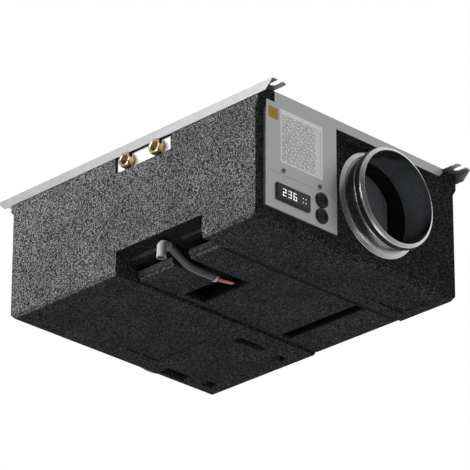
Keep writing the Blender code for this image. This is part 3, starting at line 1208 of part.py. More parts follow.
def build_refrigerant_lines():
    """Copper lines between the compressor, the coils, the drier and the accumulator."""
    crossings = pipe_crossings()
    level = CONNECTION_LEVEL
    coil_end = COIL_LEFT - GAP
    body_bottom = COMPRESSOR_FLOOR + FOOT_HEIGHT + BASE_THICKNESS + 3 * GAP
    top = body_bottom + COMPRESSOR_HEIGHT + GAP
    high = LID_BOTTOM - LINE_RADIUS - MM
    start = COMPRESSOR_RIGHT + 22 * MM
    lane = LEFT_CHAMBER_RIGHT - 22 * MM
    discharge = [at(start, COMPRESSOR_BACK, top), at(start, COMPRESSOR_BACK, high),
                 at(lane, COMPRESSOR_BACK - 30 * MM, high),
                 at(lane, crossings[4], high), at(lane, crossings[4], level),
                 at(coil_end, crossings[4], level)]
    rod("discharge_line", rounded_path(discharge, 9 * MM, 3), LINE_RADIUS, COPPER)

    drier_top = DRIER_LEVEL + DRIER_LENGTH
    liquid = [at(coil_end, crossings[3], level), at(DRIER_RIGHT, crossings[3], level),
              at(DRIER_RIGHT, crossings[3], drier_top + GAP)]
    rod("liquid_line", rounded_path(liquid, 8 * MM, 3), 3 * MM, COPPER)
    drier = [(0, DRIER_LENGTH), (0.4 * DRIER_RADIUS, DRIER_LENGTH),
             (DRIER_RADIUS, DRIER_LENGTH - 9 * MM),
             (DRIER_RADIUS, 9 * MM), (0.4 * DRIER_RADIUS, 0), (0, 0)]
    turned("filter_drier", at(DRIER_RIGHT, crossings[3], DRIER_LEVEL), drier, "Z", COPPER, steps=16,
           closed=False)

    loop_radius = 16 * MM
    loop_back = crossings[2] + 2 * loop_radius
    loop_level = DRIER_LEVEL - 14 * MM
    capillary = [at(DRIER_RIGHT, crossings[3], DRIER_LEVEL - GAP),
                 at(DRIER_RIGHT, crossings[3], loop_level)]
    for step in range(13):
        angle = 2 * math.pi * step / 6
        place = at(DRIER_RIGHT + loop_radius * math.sin(angle),
                   loop_back + loop_radius * (math.cos(angle) - 1), loop_level - step * 2 * MM)
        capillary.append(place)
    inlet_back = crossings[2] + LINE_RADIUS + MM
    capillary += [at(DRIER_RIGHT + 10 * MM, inlet_back, PIPE_FLOOR + 8 * MM),
                  at(DRIER_RIGHT + 20 * MM, inlet_back, 90 * MM),
                  at(DRIER_RIGHT + 20 * MM, inlet_back, level), at(coil_end, inlet_back, level)]
    rod("capillary_tube", capillary, 1.6 * MM, COPPER, sides=1)

    accumulator_top = body_bottom + ACCUMULATOR_LIFT + ACCUMULATOR_HEIGHT
    suction_back = crossings[2] - 2 * MM
    suction = [at(coil_end, suction_back, level), at(COMPRESSOR_RIGHT, suction_back, level),
               at(COMPRESSOR_RIGHT, ACCUMULATOR_BACK, level),
               at(COMPRESSOR_RIGHT, ACCUMULATOR_BACK, accumulator_top + GAP)]
    rod("suction_line", rounded_path(suction, 12 * MM, 3), 5 * MM, COPPER)
    inlet_level = body_bottom + 11 * MM
    inlet_depth = COMPRESSOR_RADIUS - 5.2 * MM
    elbow = [at(COMPRESSOR_RIGHT, ACCUMULATOR_BACK, body_bottom + ACCUMULATOR_LIFT - GAP),
             at(COMPRESSOR_RIGHT, ACCUMULATOR_BACK, inlet_level),
             at(COMPRESSOR_RIGHT, COMPRESSOR_BACK - inlet_depth, inlet_level)]
    rod("suction_elbow", rounded_path(elbow, 8 * MM, 3), 4 * MM, COPPER)


def build_all():
    """Builds every piece of the dryer."""
    build_casing()
    build_casing_lid()
    build_top_plate()
    build_electrical_box()
    build_service_cover()
    build_display()
    build_grommets()
    build_cover_screws()
    build_spigot("front_spigot", FRONT_SPIGOT_RIGHT, 0, "-Y")
    build_spigot("back_spigot", BACK_SPIGOT_RIGHT, CASE_DEPTH, "Y")
    build_filter()
    build_middle_cover()
    build_drain()
    build_water_connections()
    build_coil("water_coil", WATER_COIL_FRONT, WATER_COIL_DEPTH, 4)
    build_coil("evaporator", EVAPORATOR_FRONT, EVAPORATOR_DEPTH, 3)
    build_coil("condenser", CONDENSER_FRONT, CONDENSER_DEPTH, 3)
    build_fan()
    build_compressor()
    build_refrigerant_lines()


build_all()
bpy.context.view_layer.update()
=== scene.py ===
# %% [markdown]
# A ducted air dryer, dressed
# The solids of the unit come in as a fixed frame. This lesson gives them their finishes and adds the fine
# pieces that a solid model leaves out: rounded foam edges, rolled spigots, pleats, threads, rules and digits.

# %% Load the frame
import json
import math
import bmesh
import bpy
import numpy as np
from mathutils import Matrix, Vector

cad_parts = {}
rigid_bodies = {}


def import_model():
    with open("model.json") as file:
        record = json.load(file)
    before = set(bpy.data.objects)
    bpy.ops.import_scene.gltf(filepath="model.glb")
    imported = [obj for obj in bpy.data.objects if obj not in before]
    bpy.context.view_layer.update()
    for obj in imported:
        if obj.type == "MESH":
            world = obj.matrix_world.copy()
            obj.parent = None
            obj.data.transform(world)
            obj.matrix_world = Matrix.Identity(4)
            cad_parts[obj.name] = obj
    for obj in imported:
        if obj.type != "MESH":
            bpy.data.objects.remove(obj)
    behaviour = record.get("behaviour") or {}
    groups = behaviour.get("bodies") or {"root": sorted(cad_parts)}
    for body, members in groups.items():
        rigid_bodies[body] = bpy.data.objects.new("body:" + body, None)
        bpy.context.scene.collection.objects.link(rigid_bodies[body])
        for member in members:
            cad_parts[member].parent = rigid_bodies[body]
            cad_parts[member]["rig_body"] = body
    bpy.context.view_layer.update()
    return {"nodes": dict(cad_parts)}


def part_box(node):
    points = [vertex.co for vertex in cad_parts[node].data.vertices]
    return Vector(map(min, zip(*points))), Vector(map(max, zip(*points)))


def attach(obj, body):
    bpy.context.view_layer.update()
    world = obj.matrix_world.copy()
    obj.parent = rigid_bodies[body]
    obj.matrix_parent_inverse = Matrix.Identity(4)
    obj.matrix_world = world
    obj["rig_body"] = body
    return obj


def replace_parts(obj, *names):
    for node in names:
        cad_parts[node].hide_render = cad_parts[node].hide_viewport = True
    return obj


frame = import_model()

# %% [markdown]
# Distances are measured on the unit as a fitter would: to the right of the casing's left face, back from its
# front face and up from its underside. One function turns such a place into world metres, so that the numbers
# below read like the ones on a drawing.

# %% Places on the unit
MM = 0.001
X_LEFT = -0.231
Y_FRONT = -0.290
SHEET_FRONT = -8.0
SPIGOT_HEIGHT = 113.0


def at(right, back, up):
    """World point of a place given in millimetres: corner plus distance along each axis."""
    return np.array([X_LEFT + right * MM, Y_FRONT + back * MM, up * MM])


print("front of the control panel", at(0, SHEET_FRONT, 0)[1])

# %% [markdown]
# The photo looks up at the corner between the left face and the front face with a long lens. Its azimuth,
# elevation and distance were fitted to the edges of the casing. The camera is built from those angles: a
# forward direction, a right direction square to it, and an up direction square to both.

# %% Camera
AZIMUTH = math.radians(44.728)
ELEVATION = math.radians(25.215)
ROLL = math.radians(-0.139)
IMAGE_WIDTH = 470
FOCAL_PIXELS = 3819.09
PIXEL_SIZE = 1.58 * MM
CORNER_OFFSET = (20.299, 20.421)


def build_camera():
    """Camera matrix: columns are right, up and back; place is the corner minus its offset in camera axes."""
    forward = np.array([math.sin(AZIMUTH) * math.cos(ELEVATION), math.cos(AZIMUTH) * math.cos(ELEVATION),
                        math.sin(ELEVATION)])
    level = np.array([math.cos(AZIMUTH), -math.sin(AZIMUTH), 0.0])
    rise = np.cross(level, forward)
    right = level * math.cos(ROLL) - rise * math.sin(ROLL)
    up = level * math.sin(ROLL) + rise * math.cos(ROLL)
    corner = at(0, 0, 0)
    offset = right * CORNER_OFFSET[0] + up * CORNER_OFFSET[1] + forward * FOCAL_PIXELS
    place = corner - PIXEL_SIZE * offset
    data = bpy.data.cameras.new("photo_camera")
    data.sensor_width = 36.0
    data.lens = FOCAL_PIXELS / IMAGE_WIDTH * data.sensor_width
    data.clip_start = 0.1
    data.clip_end = 100.0
    camera = bpy.data.objects.new("photo_camera", data)
    columns = np.column_stack([right, up, -forward])
    camera.matrix_world = Matrix.Translation(place) @ Matrix(columns.tolist()).to_4x4()
    bpy.context.scene.collection.objects.link(camera)
    bpy.context.scene.camera = camera
    return camera


camera = build_camera()
print("lens", round(camera.data.lens, 1), "mm at", [round(value, 3) for value in camera.location])

# %% [markdown]
# The unit hangs in a white studio. The world shows plain white to the camera and gives a soft dim light of
# its own. In reflections a white backdrop stands behind the unit and fades towards the dark side of the
# room, which gives bare sheet its bright and dark bands. Two lamps on the left light the left face, as in
# the photo, and a faint one from below keeps the underside readable. The floor is pale and far below.

# %% Studio
WORLD_LIGHT = 0.195
KEY_POWER = 62.0
BACK_KEY_POWER = 75.0
FILL_POWER = 17.0
BACKDROP = (0.66, 0.66, 0.36)
BACKDROP_EDGES = (-0.6, 0.75)
BACKDROP_DARK = 0.10
FLOOR_LEVEL = -7.5
FLOOR_HALF = 30.0
FLOOR_MIRRORED = 0.70
FLOOR_SEEN = 0.4
DIRECT_RAYS = ("Is Camera Ray", "Is Transmission Ray")


def add_node(tree, kind, inputs=None, **settings):
    """Makes a node, sets its options, and fills or links its inputs by name or number."""
    node = tree.nodes.new(kind)
    for key, value in settings.items():
        setattr(node, key, value)
    for key, value in (inputs or {}).items():
        socket = node.inputs[key]
        if isinstance(value, bpy.types.NodeSocket):
            tree.links.new(value, socket)
        else:
            socket.default_value = value
    return node


def math_node(tree, operation, first, second=0.0):
    """Output of one arithmetic step."""
    return add_node(tree, "ShaderNodeMath", {0: first, 1: second}, operation=operation).outputs[0]


def ranged(tree, value, low, high, new_low, new_high):
    """Value moved from one range to another and held inside it."""
    inputs = {"Value": value, "From Min": low, "From Max": high, "To Min": new_low, "To Max": new_high}
    return add_node(tree, "ShaderNodeMapRange", inputs, clamp=True).outputs[0]


def ray_share(tree, *kinds):
    """1 for rays of the named kinds, else 0: the largest of their values."""
    rays = add_node(tree, "ShaderNodeLightPath").outputs
    share = rays[kinds[0]]
    for kind in kinds[1:]:
        share = math_node(tree, "MAXIMUM", share, rays[kind])
    return share


def backdrop_share(tree, way):
    """White of the backdrop in a direction, from the cosine to its middle; always 1 for the eye."""
    unit = add_node(tree, "ShaderNodeVectorMath", {0: way}, operation="NORMALIZE").outputs[0]
    product = add_node(tree, "ShaderNodeVectorMath", {0: unit, 1: BACKDROP}, operation="DOT_PRODUCT")
    share = ranged(tree, product.outputs["Value"], *BACKDROP_EDGES, BACKDROP_DARK, 1.0)
    return math_node(tree, "MAXIMUM", share, ray_share(tree, *DIRECT_RAYS))


def build_world():
    """White for the eye, the backdrop for reflections, dim grey for the light that falls on the unit."""
    world = bpy.data.worlds.new("studio")
    bpy.context.scene.world = world
    world.use_nodes = True
    tree = world.node_tree
    tree.nodes.clear()
    dim = add_node(tree, "ShaderNodeBackground", {"Color": (1, 1, 1, 1), "Strength": WORLD_LIGHT})
    share = backdrop_share(tree, add_node(tree, "ShaderNodeTexCoord").outputs["Generated"])
    white = add_node(tree, "ShaderNodeBackground", {"Color": (1, 1, 1, 1), "Strength": share})
    shown = ray_share(tree, "Is Glossy Ray", *DIRECT_RAYS)
    mix = add_node(tree, "ShaderNodeMixShader", {0: shown, 1: dim.outputs[0], 2: white.outputs[0]})
    out = add_node(tree, "ShaderNodeOutputWorld")
    tree.links.new(mix.outputs[0], out.inputs["Surface"])


def area_lamp(name, place, target, size, power, mirrored=True):
    """A square soft lamp at a place, turned to its target; it may be kept out of reflections."""
    data = bpy.data.lights.new(name, "AREA")
    data.shape = "SQUARE"
    data.size = size
    data.energy = power
    lamp = bpy.data.objects.new(name, data)
    lamp.location = place
    lamp.rotation_euler = (Vector(target) - Vector(place)).to_track_quat("-Z", "Y").to_euler()
    lamp.visible_glossy = mirrored
    bpy.context.scene.collection.objects.link(lamp)


build_world()
area_lamp("left_softbox", (-2.7, 0.30, 0.30), (-0.2, -0.05, 0.12), 1.6, KEY_POWER)
area_lamp("back_left_softbox", (-2.0, 1.0, 0.9), (-0.2, 0.05, 0.1), 0.8, BACK_KEY_POWER, mirrored=False)
area_lamp("low_fill", (-0.4, -1.4, -2.9), (0, 0, 0.1), 1.8, FILL_POWER)
print("world light", WORLD_LIGHT, "key", KEY_POWER, "W")

# %% [markdown]
# Most new pieces are surfaces computed as arrays. A grid of points, one row per step of a profile and one
# column per step round it, becomes quads by index arithmetic. A small step then merges the seam and poles.

# %% Mesh helpers
BOX_FACES = np.array([[0, 1, 2, 3], [7, 6, 5, 4], [0, 4, 5, 1], [1, 5, 6, 2], [2, 6, 7, 3], [3, 7, 4, 0]])


def grid_faces(rows, columns):
    """Quads between neighbouring rows and columns; the last column meets the first."""
    index = np.arange(rows * columns).reshape(rows, columns)
    index = np.hstack([index, index[:, :1]])
    corners = [index[:-1, :-1], index[:-1, 1:], index[1:, 1:], index[1:, :-1]]
    return np.stack(corners, axis=-1).reshape(-1, 4)


def add_piece(name, points, faces, body="unit", smooth_angle=40):
    """Object from points and faces, merged, turned outwards, smooth up to an angle, on its body."""
    mesh = bpy.data.meshes.new(name)
    mesh.from_pydata(np.asarray(points).reshape(-1, 3).tolist(), [], [list(face) for face in faces])
    shape = bmesh.new()
    shape.from_mesh(mesh)
    bmesh.ops.remove_doubles(shape, verts=shape.verts, dist=1e-6)
    bmesh.ops.dissolve_degenerate(shape, edges=shape.edges, dist=1e-7)
    bmesh.ops.recalc_face_normals(shape, faces=shape.faces)
    shape.to_mesh(mesh)
    shape.free()
    mesh.shade_smooth()
    mesh.set_sharp_from_angle(angle=math.radians(smooth_angle))
    item = bpy.data.objects.new(name, mesh)
    bpy.context.scene.collection.objects.link(item)
    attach(item, body)
    return item


def soften(profile, radius, steps=5, closed=False):
    """Rounds each corner C with the curve (1-t)^2 A + 2t(1-t) C + t^2 B between points A and B beside it."""
    corners = np.asarray(profile, float)
    before = np.roll(corners, 1, axis=0)
    after = np.roll(corners, -1, axis=0)
    back = before - corners
    ahead = after - corners
    back_length = np.linalg.norm(back, axis=1, keepdims=True)
    ahead_length = np.linalg.norm(ahead, axis=1, keepdims=True)
    reach = np.minimum(np.minimum(back_length, ahead_length) * 0.45, radius)
    start = corners + back / np.maximum(back_length, 1e-12) * reach
    end = corners + ahead / np.maximum(ahead_length, 1e-12) * reach
    t = np.linspace(0, 1, steps)[:, None, None]
    curve = (1 - t) ** 2 * start + 2 * t * (1 - t) * corners + t ** 2 * end
    curve = curve.transpose(1, 0, 2)
    if not closed:
        curve[0] = corners[0]
        curve[-1] = corners[-1]
    return curve.reshape(-1, corners.shape[1])


DIRECTIONS = {
    "X": ((1, 0, 0), (0, 1, 0), (0, 0, 1)),
    "Y": ((0, 1, 0), (1, 0, 0), (0, 0, 1)),
    "-Y": ((0, -1, 0), (1, 0, 0), (0, 0, 1)),
}


def polar_piece(name, radius, height, origin, axis, closed=True, smooth_angle=40):
    """Point (i, a) = origin + height i * axis + radius (i, a) * (cos a * side + sin a * up)."""
    along, side, up = (np.array(part, float) for part in DIRECTIONS[axis])
    rows, columns = radius.shape
    angle = np.linspace(0, 2 * math.pi, columns, endpoint=False)
    ring = np.cos(angle)[:, None] * side + np.sin(angle)[:, None] * up
    points = origin + height[:, None, None] * along + radius[:, :, None] * ring[None]
    if closed:
        points = np.concatenate([points, points[:1]])
        rows += 1
    return add_piece(name, points, grid_faces(rows, columns), smooth_angle=smooth_angle)


def turned_piece(name, profile, origin, axis, steps, closed=True, smooth_angle=40):
    """Surface of revolution of a profile of (radius, height) pairs in millimetres."""
    profile = np.asarray(profile, float) * MM
    radius = np.repeat(profile[:, :1], steps, axis=1)
    return polar_piece(name, radius, profile[:, 1], origin, axis, closed, smooth_angle)


def bars_piece(name, rectangles, front, depth):
    """Thin upright bars: each row of rectangles is (left, low, right, high) on the front of the unit."""
    area = np.asarray(rectangles, float)
    corners = area[:, [0, 1, 2, 1, 2, 3, 0, 3]].reshape(-1, 4, 2)
    near = np.empty((len(area), 4, 3))
    near[:, :, 0] = X_LEFT + corners[:, :, 0] * MM
    near[:, :, 2] = corners[:, :, 1] * MM
    near[:, :, 1] = front
    far = near.copy()
    far[:, :, 1] = front + depth
    points = np.concatenate([near, far], axis=1)
    faces = (BOX_FACES[None] + 8 * np.arange(len(area))[:, None, None]).reshape(-1, 4)
    return add_piece(name, points, faces, smooth_angle=20)


def slab_piece(name, outline, front, depth):
    """Flat plate on the front of the unit from an outline of (right, up) pairs, front face first."""
    line = np.asarray(outline, float)
    count = len(line)
    near = np.column_stack([X_LEFT + line[:, 0] * MM, np.full(count, front), line[:, 1] * MM])
    far = near + np.array([0, depth, 0])
    index = np.arange(count)
    after = np.roll(index, -1)
    sides = np.column_stack([index, after, after + count, index + count]).tolist()
    faces = [index.tolist(), (index[::-1] + count).tolist(), *sides]
    return add_piece(name, np.concatenate([near, far]), faces, smooth_angle=30)


def spline(points, steps):
    """Smooth path through points: 0.5 (2B + (C-A)t + (2A-5B+4C-D)t^2 + (3B-A-3C+D)t^3) on each stretch."""
    line = np.asarray(points, float)
    line = np.vstack([2 * line[0] - line[1], line, 2 * line[-1] - line[-2]])
    a, b, c, d = line[:-3], line[1:-2], line[2:-1], line[3:]
    t = np.linspace(0, 1, steps, endpoint=False)[:, None, None]
    curve = 0.5 * (2 * b + (c - a) * t + (2 * a - 5 * b + 4 * c - d) * t ** 2
                   + (3 * b - a - 3 * c + d) * t ** 3)
    return np.vstack([curve.transpose(1, 0, 2).reshape(-1, 3), line[-2]])


def tube_points(path, radius, sides):
    """Rings square to a path: centre + r (cos a * side + sin a * up), side square to the unit's depth."""
    tangent = np.gradient(path, axis=0)
    tangent /= np.linalg.norm(tangent, axis=1, keepdims=True)
    side = np.cross(tangent, (0.0, 1.0, 0.0))
    side /= np.linalg.norm(side, axis=1, keepdims=True)
    up = np.cross(side, tangent)
    angle = np.linspace(0, 2 * math.pi, sides, endpoint=False)
    radius = np.broadcast_to(radius, len(path))
    ring = np.cos(angle)[None, :, None] * side[:, None] + np.sin(angle)[None, :, None] * up[:, None]
    return path[:, None] + radius[:, None, None] * ring


def tube_piece(name, path, radius, sides):
    """Tube along a path with its two ends closed to a point at the centre."""
    rings = tube_points(path, radius, sides)
    first = np.repeat(path[:1], sides, axis=0)[None]
    last = np.repeat(path[-1:], sides, axis=0)[None]
    points = np.concatenate([first, rings, last])
    return add_piece(name, points, grid_faces(len(points), sides), smooth_angle=50)


print("helpers ready")

# %% [markdown]
# Many solids of the frame only need softer edges. A copy of the node is merged, flat areas are made whole
# again, and a narrow bevel rounds its edges. The copy then stands for the node, which stays hidden.

# %% Dressed copies of nodes
def dressed(node, bevel=0.0, smooth_angle=32, segments=2):
    """Copy of a node with merged corners, whole flat faces and rounded edges, on the same body."""
    source = frame["nodes"][node]
    mesh = source.data.copy()
    mesh.name = f"{node}_dressed"
    mesh.materials.clear()
    shape = bmesh.new()
    shape.from_mesh(mesh)
    bmesh.ops.remove_doubles(shape, verts=shape.verts, dist=2e-6)
    bmesh.ops.dissolve_limit(shape, angle_limit=math.radians(0.4), verts=shape.verts, edges=shape.edges)
    shape.to_mesh(mesh)
    shape.free()
    mesh.shade_smooth()
    mesh.set_sharp_from_angle(angle=math.radians(smooth_angle))
    item = bpy.data.objects.new(f"{node}_dressed", mesh)
    bpy.context.scene.collection.objects.link(item)
    if bevel:
        rounding = item.modifiers.new("rounded_edges", "BEVEL")
        rounding.width = bevel * MM
        rounding.segments = segments
        rounding.limit_method = "ANGLE"
        rounding.angle_limit = math.radians(smooth_angle)
        rounding.use_clamp_overlap = True
        rounding.harden_normals = True
    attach(item, source["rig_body"])
    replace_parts(item, node)
    return item


# %% [markdown]
# Three effects are shared by the finishes, each one a node group. Bead skin is the pebbled face of moulded
# particle foam, with painted shade that darkens the floors of its recesses and the inside of the casing.
# Sheet skin is the cloudy grain of zinc-coated steel. Fine skin is the slight unevenness that plastic,
# rubber, paint and copper all show.
# Each puts out a colour, a roughness and a height for a bump.

# %% Shared effects
def new_group(name, inputs):
    """Empty node group with the given inputs and the outputs Color, Roughness and Height."""
    group = bpy.data.node_groups.new(name, "ShaderNodeTree")
    for label, kind, value in inputs:
        socket = group.interface.new_socket(label, in_out="INPUT", socket_type=kind)
        if value is not None:
            socket.default_value = value
    for label, kind in (("Color", "Color"), ("Roughness", "Float"), ("Height", "Float")):
        group.interface.new_socket(label, in_out="OUTPUT", socket_type=f"NodeSocket{kind}")
    return group, add_node(group, "NodeGroupInput"), add_node(group, "NodeGroupOutput")


def mixed(tree, share, first, second):
    """Colour between two colours by a share from 0 to 1."""
    node = add_node(tree, "ShaderNodeMix", data_type="RGBA")
    for socket, value in ((node.inputs[0], share), (node.inputs[6], first), (node.inputs[7], second)):
        if isinstance(value, bpy.types.NodeSocket):
            tree.links.new(value, socket)
        else:
            socket.default_value = value
    return node.outputs[2]


def weighted(tree, first, first_share, second, second_share):
    """Sum of two values, each times its share."""
    first_part = math_node(tree, "MULTIPLY", first, first_share)
    return math_node(tree, "ADD", first_part, math_node(tree, "MULTIPLY", second, second_share))


def swayed(tree, source, share):
    """Base colour times 1 minus the spread where the share is 0, times 1 plus the spread where it is 1."""
    ends = []
    for operation in ("SUBTRACT", "ADD"):
        value = math_node(tree, operation, 1.0, source.outputs["Spread"])
        moved = add_node(tree, "ShaderNodeHueSaturation", {"Color": source.outputs["Base"], "Value": value})
        ends.append(moved.outputs[0])
    return mixed(tree, share, *ends)


# Heights and places where the bead skin gets painted shade: recess floors and the inside of the casing.
RECESS_LEVEL = (7.5 * MM, 9.5 * MM)
INSIDE_FRONT = (Y_FRONT + 6 * MM, Y_FRONT + 10 * MM)
INSIDE_LEFT = (X_LEFT + 40 * MM, X_LEFT + 50 * MM)


def recess_shade(tree, vector):
    """Painted shade: 0.7 on floors that face down in a recess and 0.8 deep inside the casing, else 0."""
    facing = add_node(tree, "ShaderNodeNewGeometry").outputs["True Normal"]
    up = add_node(tree, "ShaderNodeSeparateXYZ", {0: facing}).outputs[2]
    right, back, height = add_node(tree, "ShaderNodeSeparateXYZ", {0: vector}).outputs
    raised = ranged(tree, height, *RECESS_LEVEL, 0.0, 1.0)
    floor = math_node(tree, "MULTIPLY", ranged(tree, up, -0.9, -0.6, 0.7, 0.0), raised)
    inner = math_node(tree, "MULTIPLY", ranged(tree, back, *INSIDE_FRONT, 0.0, 0.8),
                      ranged(tree, right, *INSIDE_LEFT, 0.0, 1.0))
    return math_node(tree, "MAXIMUM", floor, math_node(tree, "MULTIPLY", inner, raised))


def bead_skin():
    """Pebbles: each cell its own grey, pale ones partly painted glints; dark rims, domes, painted recess
    shade.
    """
    group, source, out = new_group("bead_skin", [
        ("Vector", "NodeSocketVector", None), ("Cells", "NodeSocketFloat", 300.0),
        ("Dark", "NodeSocketColor", (0.03, 0.03, 0.03, 1)),
        ("Light", "NodeSocketColor", (0.12, 0.12, 0.12, 1)),
    ])
    vector = source.outputs["Vector"]
    cells = source.outputs["Cells"]
    cell = add_node(group, "ShaderNodeTexVoronoi", {"Vector": vector, "Scale": cells})
    shade = add_node(group, "ShaderNodeSeparateColor", {0: cell.outputs["Color"]}).outputs[0]
    grains = math_node(group, "MULTIPLY", cells, 1.7)
    grain = add_node(group, "ShaderNodeTexNoise", {"Vector": vector, "Scale": grains, "Detail": 3.0,
                                                   "Roughness": 0.65}).outputs[0]
    broad = add_node(group, "ShaderNodeTexNoise", {"Vector": vector, "Scale": 14.0, "Detail": 2.0}).outputs[0]
    rim = ranged(group, cell.outputs["Distance"], 0.35, 0.75, 1.0, 0.35)
    value = math_node(group, "ADD", math_node(group, "MULTIPLY", shade, 0.5),
                      ranged(group, grain, 0.35, 0.7, 0.0, 0.5))
    value = math_node(group, "POWER", math_node(group, "MULTIPLY", value, rim), 2.3)
    value = math_node(group, "MULTIPLY", value, ranged(group, broad, 0.3, 0.7, 0.8, 1.25))
    # Painted shade: the bead colour is darkened where the recess mask is high.
    lit = math_node(group, "SUBTRACT", 1.0, recess_shade(group, vector))
    value = math_node(group, "MULTIPLY", value, lit)
    color = mixed(group, value, source.outputs["Dark"], source.outputs["Light"])
    group.links.new(color, out.inputs["Color"])
    group.links.new(ranged(group, value, 0.0, 1.0, 0.75, 0.45), out.inputs["Roughness"])
    group.links.new(weighted(group, rim, 0.6, grain, 0.4), out.inputs["Height"])
    return group


def sheet_skin():
    """Zinc grain: large soft cells of slightly different grey with fine drawn lines over them."""
    group, source, out = new_group("sheet_skin", [
        ("Vector", "NodeSocketVector", None), ("Cells", "NodeSocketFloat", 90.0),
        ("Base", "NodeSocketColor", (0.5, 0.5, 0.5, 1)), ("Spread", "NodeSocketFloat", 0.1),
        ("Shine", "NodeSocketFloat", 0.35),
    ])
    vector = source.outputs["Vector"]
    cell = add_node(group, "ShaderNodeTexVoronoi", {"Vector": vector, "Scale": source.outputs["Cells"]})
    shade = add_node(group, "ShaderNodeSeparateColor", {0: cell.outputs["Color"]}).outputs[0]
    cloud = add_node(group, "ShaderNodeTexNoise", {"Vector": vector, "Scale": 25.0, "Detail": 4.0}).outputs[0]
    drawn = add_node(group, "ShaderNodeMapping", {"Vector": vector, "Scale": (12.0, 12.0, 700.0)}).outputs[0]
    lines = add_node(group, "ShaderNodeTexNoise", {"Vector": drawn, "Scale": 1.0, "Detail": 3.0}).outputs[0]
    sway = weighted(group, shade, 0.5, cloud, 0.5)
    group.links.new(swayed(group, source, sway), out.inputs["Color"])
    shine = math_node(group, "ADD", source.outputs["Shine"], ranged(group, sway, 0.2, 0.8, -0.02, 0.03))
    group.links.new(shine, out.inputs["Roughness"])
    group.links.new(lines, out.inputs["Height"])
    return group


def fine_skin():
    """Slight unevenness: noise moves the colour up and down by a spread and the roughness a little."""
    group, source, out = new_group("fine_skin", [
        ("Vector", "NodeSocketVector", None), ("Grain", "NodeSocketFloat", 200.0),
        ("Base", "NodeSocketColor", (0.5, 0.5, 0.5, 1)), ("Spread", "NodeSocketFloat", 0.1),
        ("Shine", "NodeSocketFloat", 0.4),
    ])
    vector = source.outputs["Vector"]
    noise = add_node(group, "ShaderNodeTexNoise", {"Vector": vector, "Scale": source.outputs["Grain"],
                                                   "Detail": 4.0}).outputs[0]
    broad = add_node(group, "ShaderNodeTexNoise", {"Vector": vector, "Scale": 18.0, "Detail": 2.0}).outputs[0]
    sway = ranged(group, weighted(group, noise, 0.6, broad, 0.4), 0.3, 0.7, 0.0, 1.0)
    group.links.new(swayed(group, source, sway), out.inputs["Color"])
    shine = math_node(group, "ADD", source.outputs["Shine"], ranged(group, broad, 0.3, 0.7, -0.05, 0.07))
    group.links.new(shine, out.inputs["Roughness"])
    group.links.new(noise, out.inputs["Height"])
    return group


BEAD_SKIN = bead_skin()
SHEET_SKIN = sheet_skin()
FINE_SKIN = fine_skin()
print("effects", [group.name for group in bpy.data.node_groups])

# %% [markdown]
# A finish is one of the effects with its own colours and scale, feeding a Principled shader. Metal or not,
# specular level and coat are plain numbers on the shader itself, because they are the same all over.

# %% Finishes
def finish(name, group, values, metallic=0.0, specular=0.5, bump=0.2, bump_depth=0.0002, coat=0.0, glow=0.0):
    """Material with the effect's colour, roughness and bump on a Principled shader."""
    made = bpy.data.materials.new(name)
    made.use_nodes = True
    tree = made.node_tree
    shader = tree.nodes["Principled BSDF"]
    place = add_node(tree, "ShaderNodeTexCoord").outputs["Object"]
    effect = add_node(tree, "ShaderNodeGroup", node_tree=group)
    tree.links.new(place, effect.inputs["Vector"])
    for key, value in values.items():
        effect.inputs[key].default_value = value
    tree.links.new(effect.outputs["Color"], shader.inputs["Base Color"])
    tree.links.new(effect.outputs["Roughness"], shader.inputs["Roughness"])
    relief = add_node(tree, "ShaderNodeBump", {"Strength": bump, "Distance": bump_depth,
                                               "Height": effect.outputs["Height"]})
    tree.links.new(relief.outputs[0], shader.inputs["Normal"])
    shader.inputs["Metallic"].default_value = metallic
    shader.inputs["Specular IOR Level"].default_value = specular
    shader.inputs["Coat Weight"].default_value = coat
    if glow:
        tree.links.new(effect.outputs["Color"], shader.inputs["Emission Color"])
        shader.inputs["Emission Strength"].default_value = glow
    return made


def grey(value):
    """Neutral colour of one value."""
    return (value, value, value, 1.0)


def fine(grain, base, spread, shine):
    """Inputs of the fine skin."""
    return {"Grain": grain, "Base": base, "Spread": spread, "Shine": shine}


def sheet(cells, base, spread, shine):
    """Inputs of the sheet skin."""
    return {"Cells": cells, "Base": base, "Spread": spread, "Shine": shine}
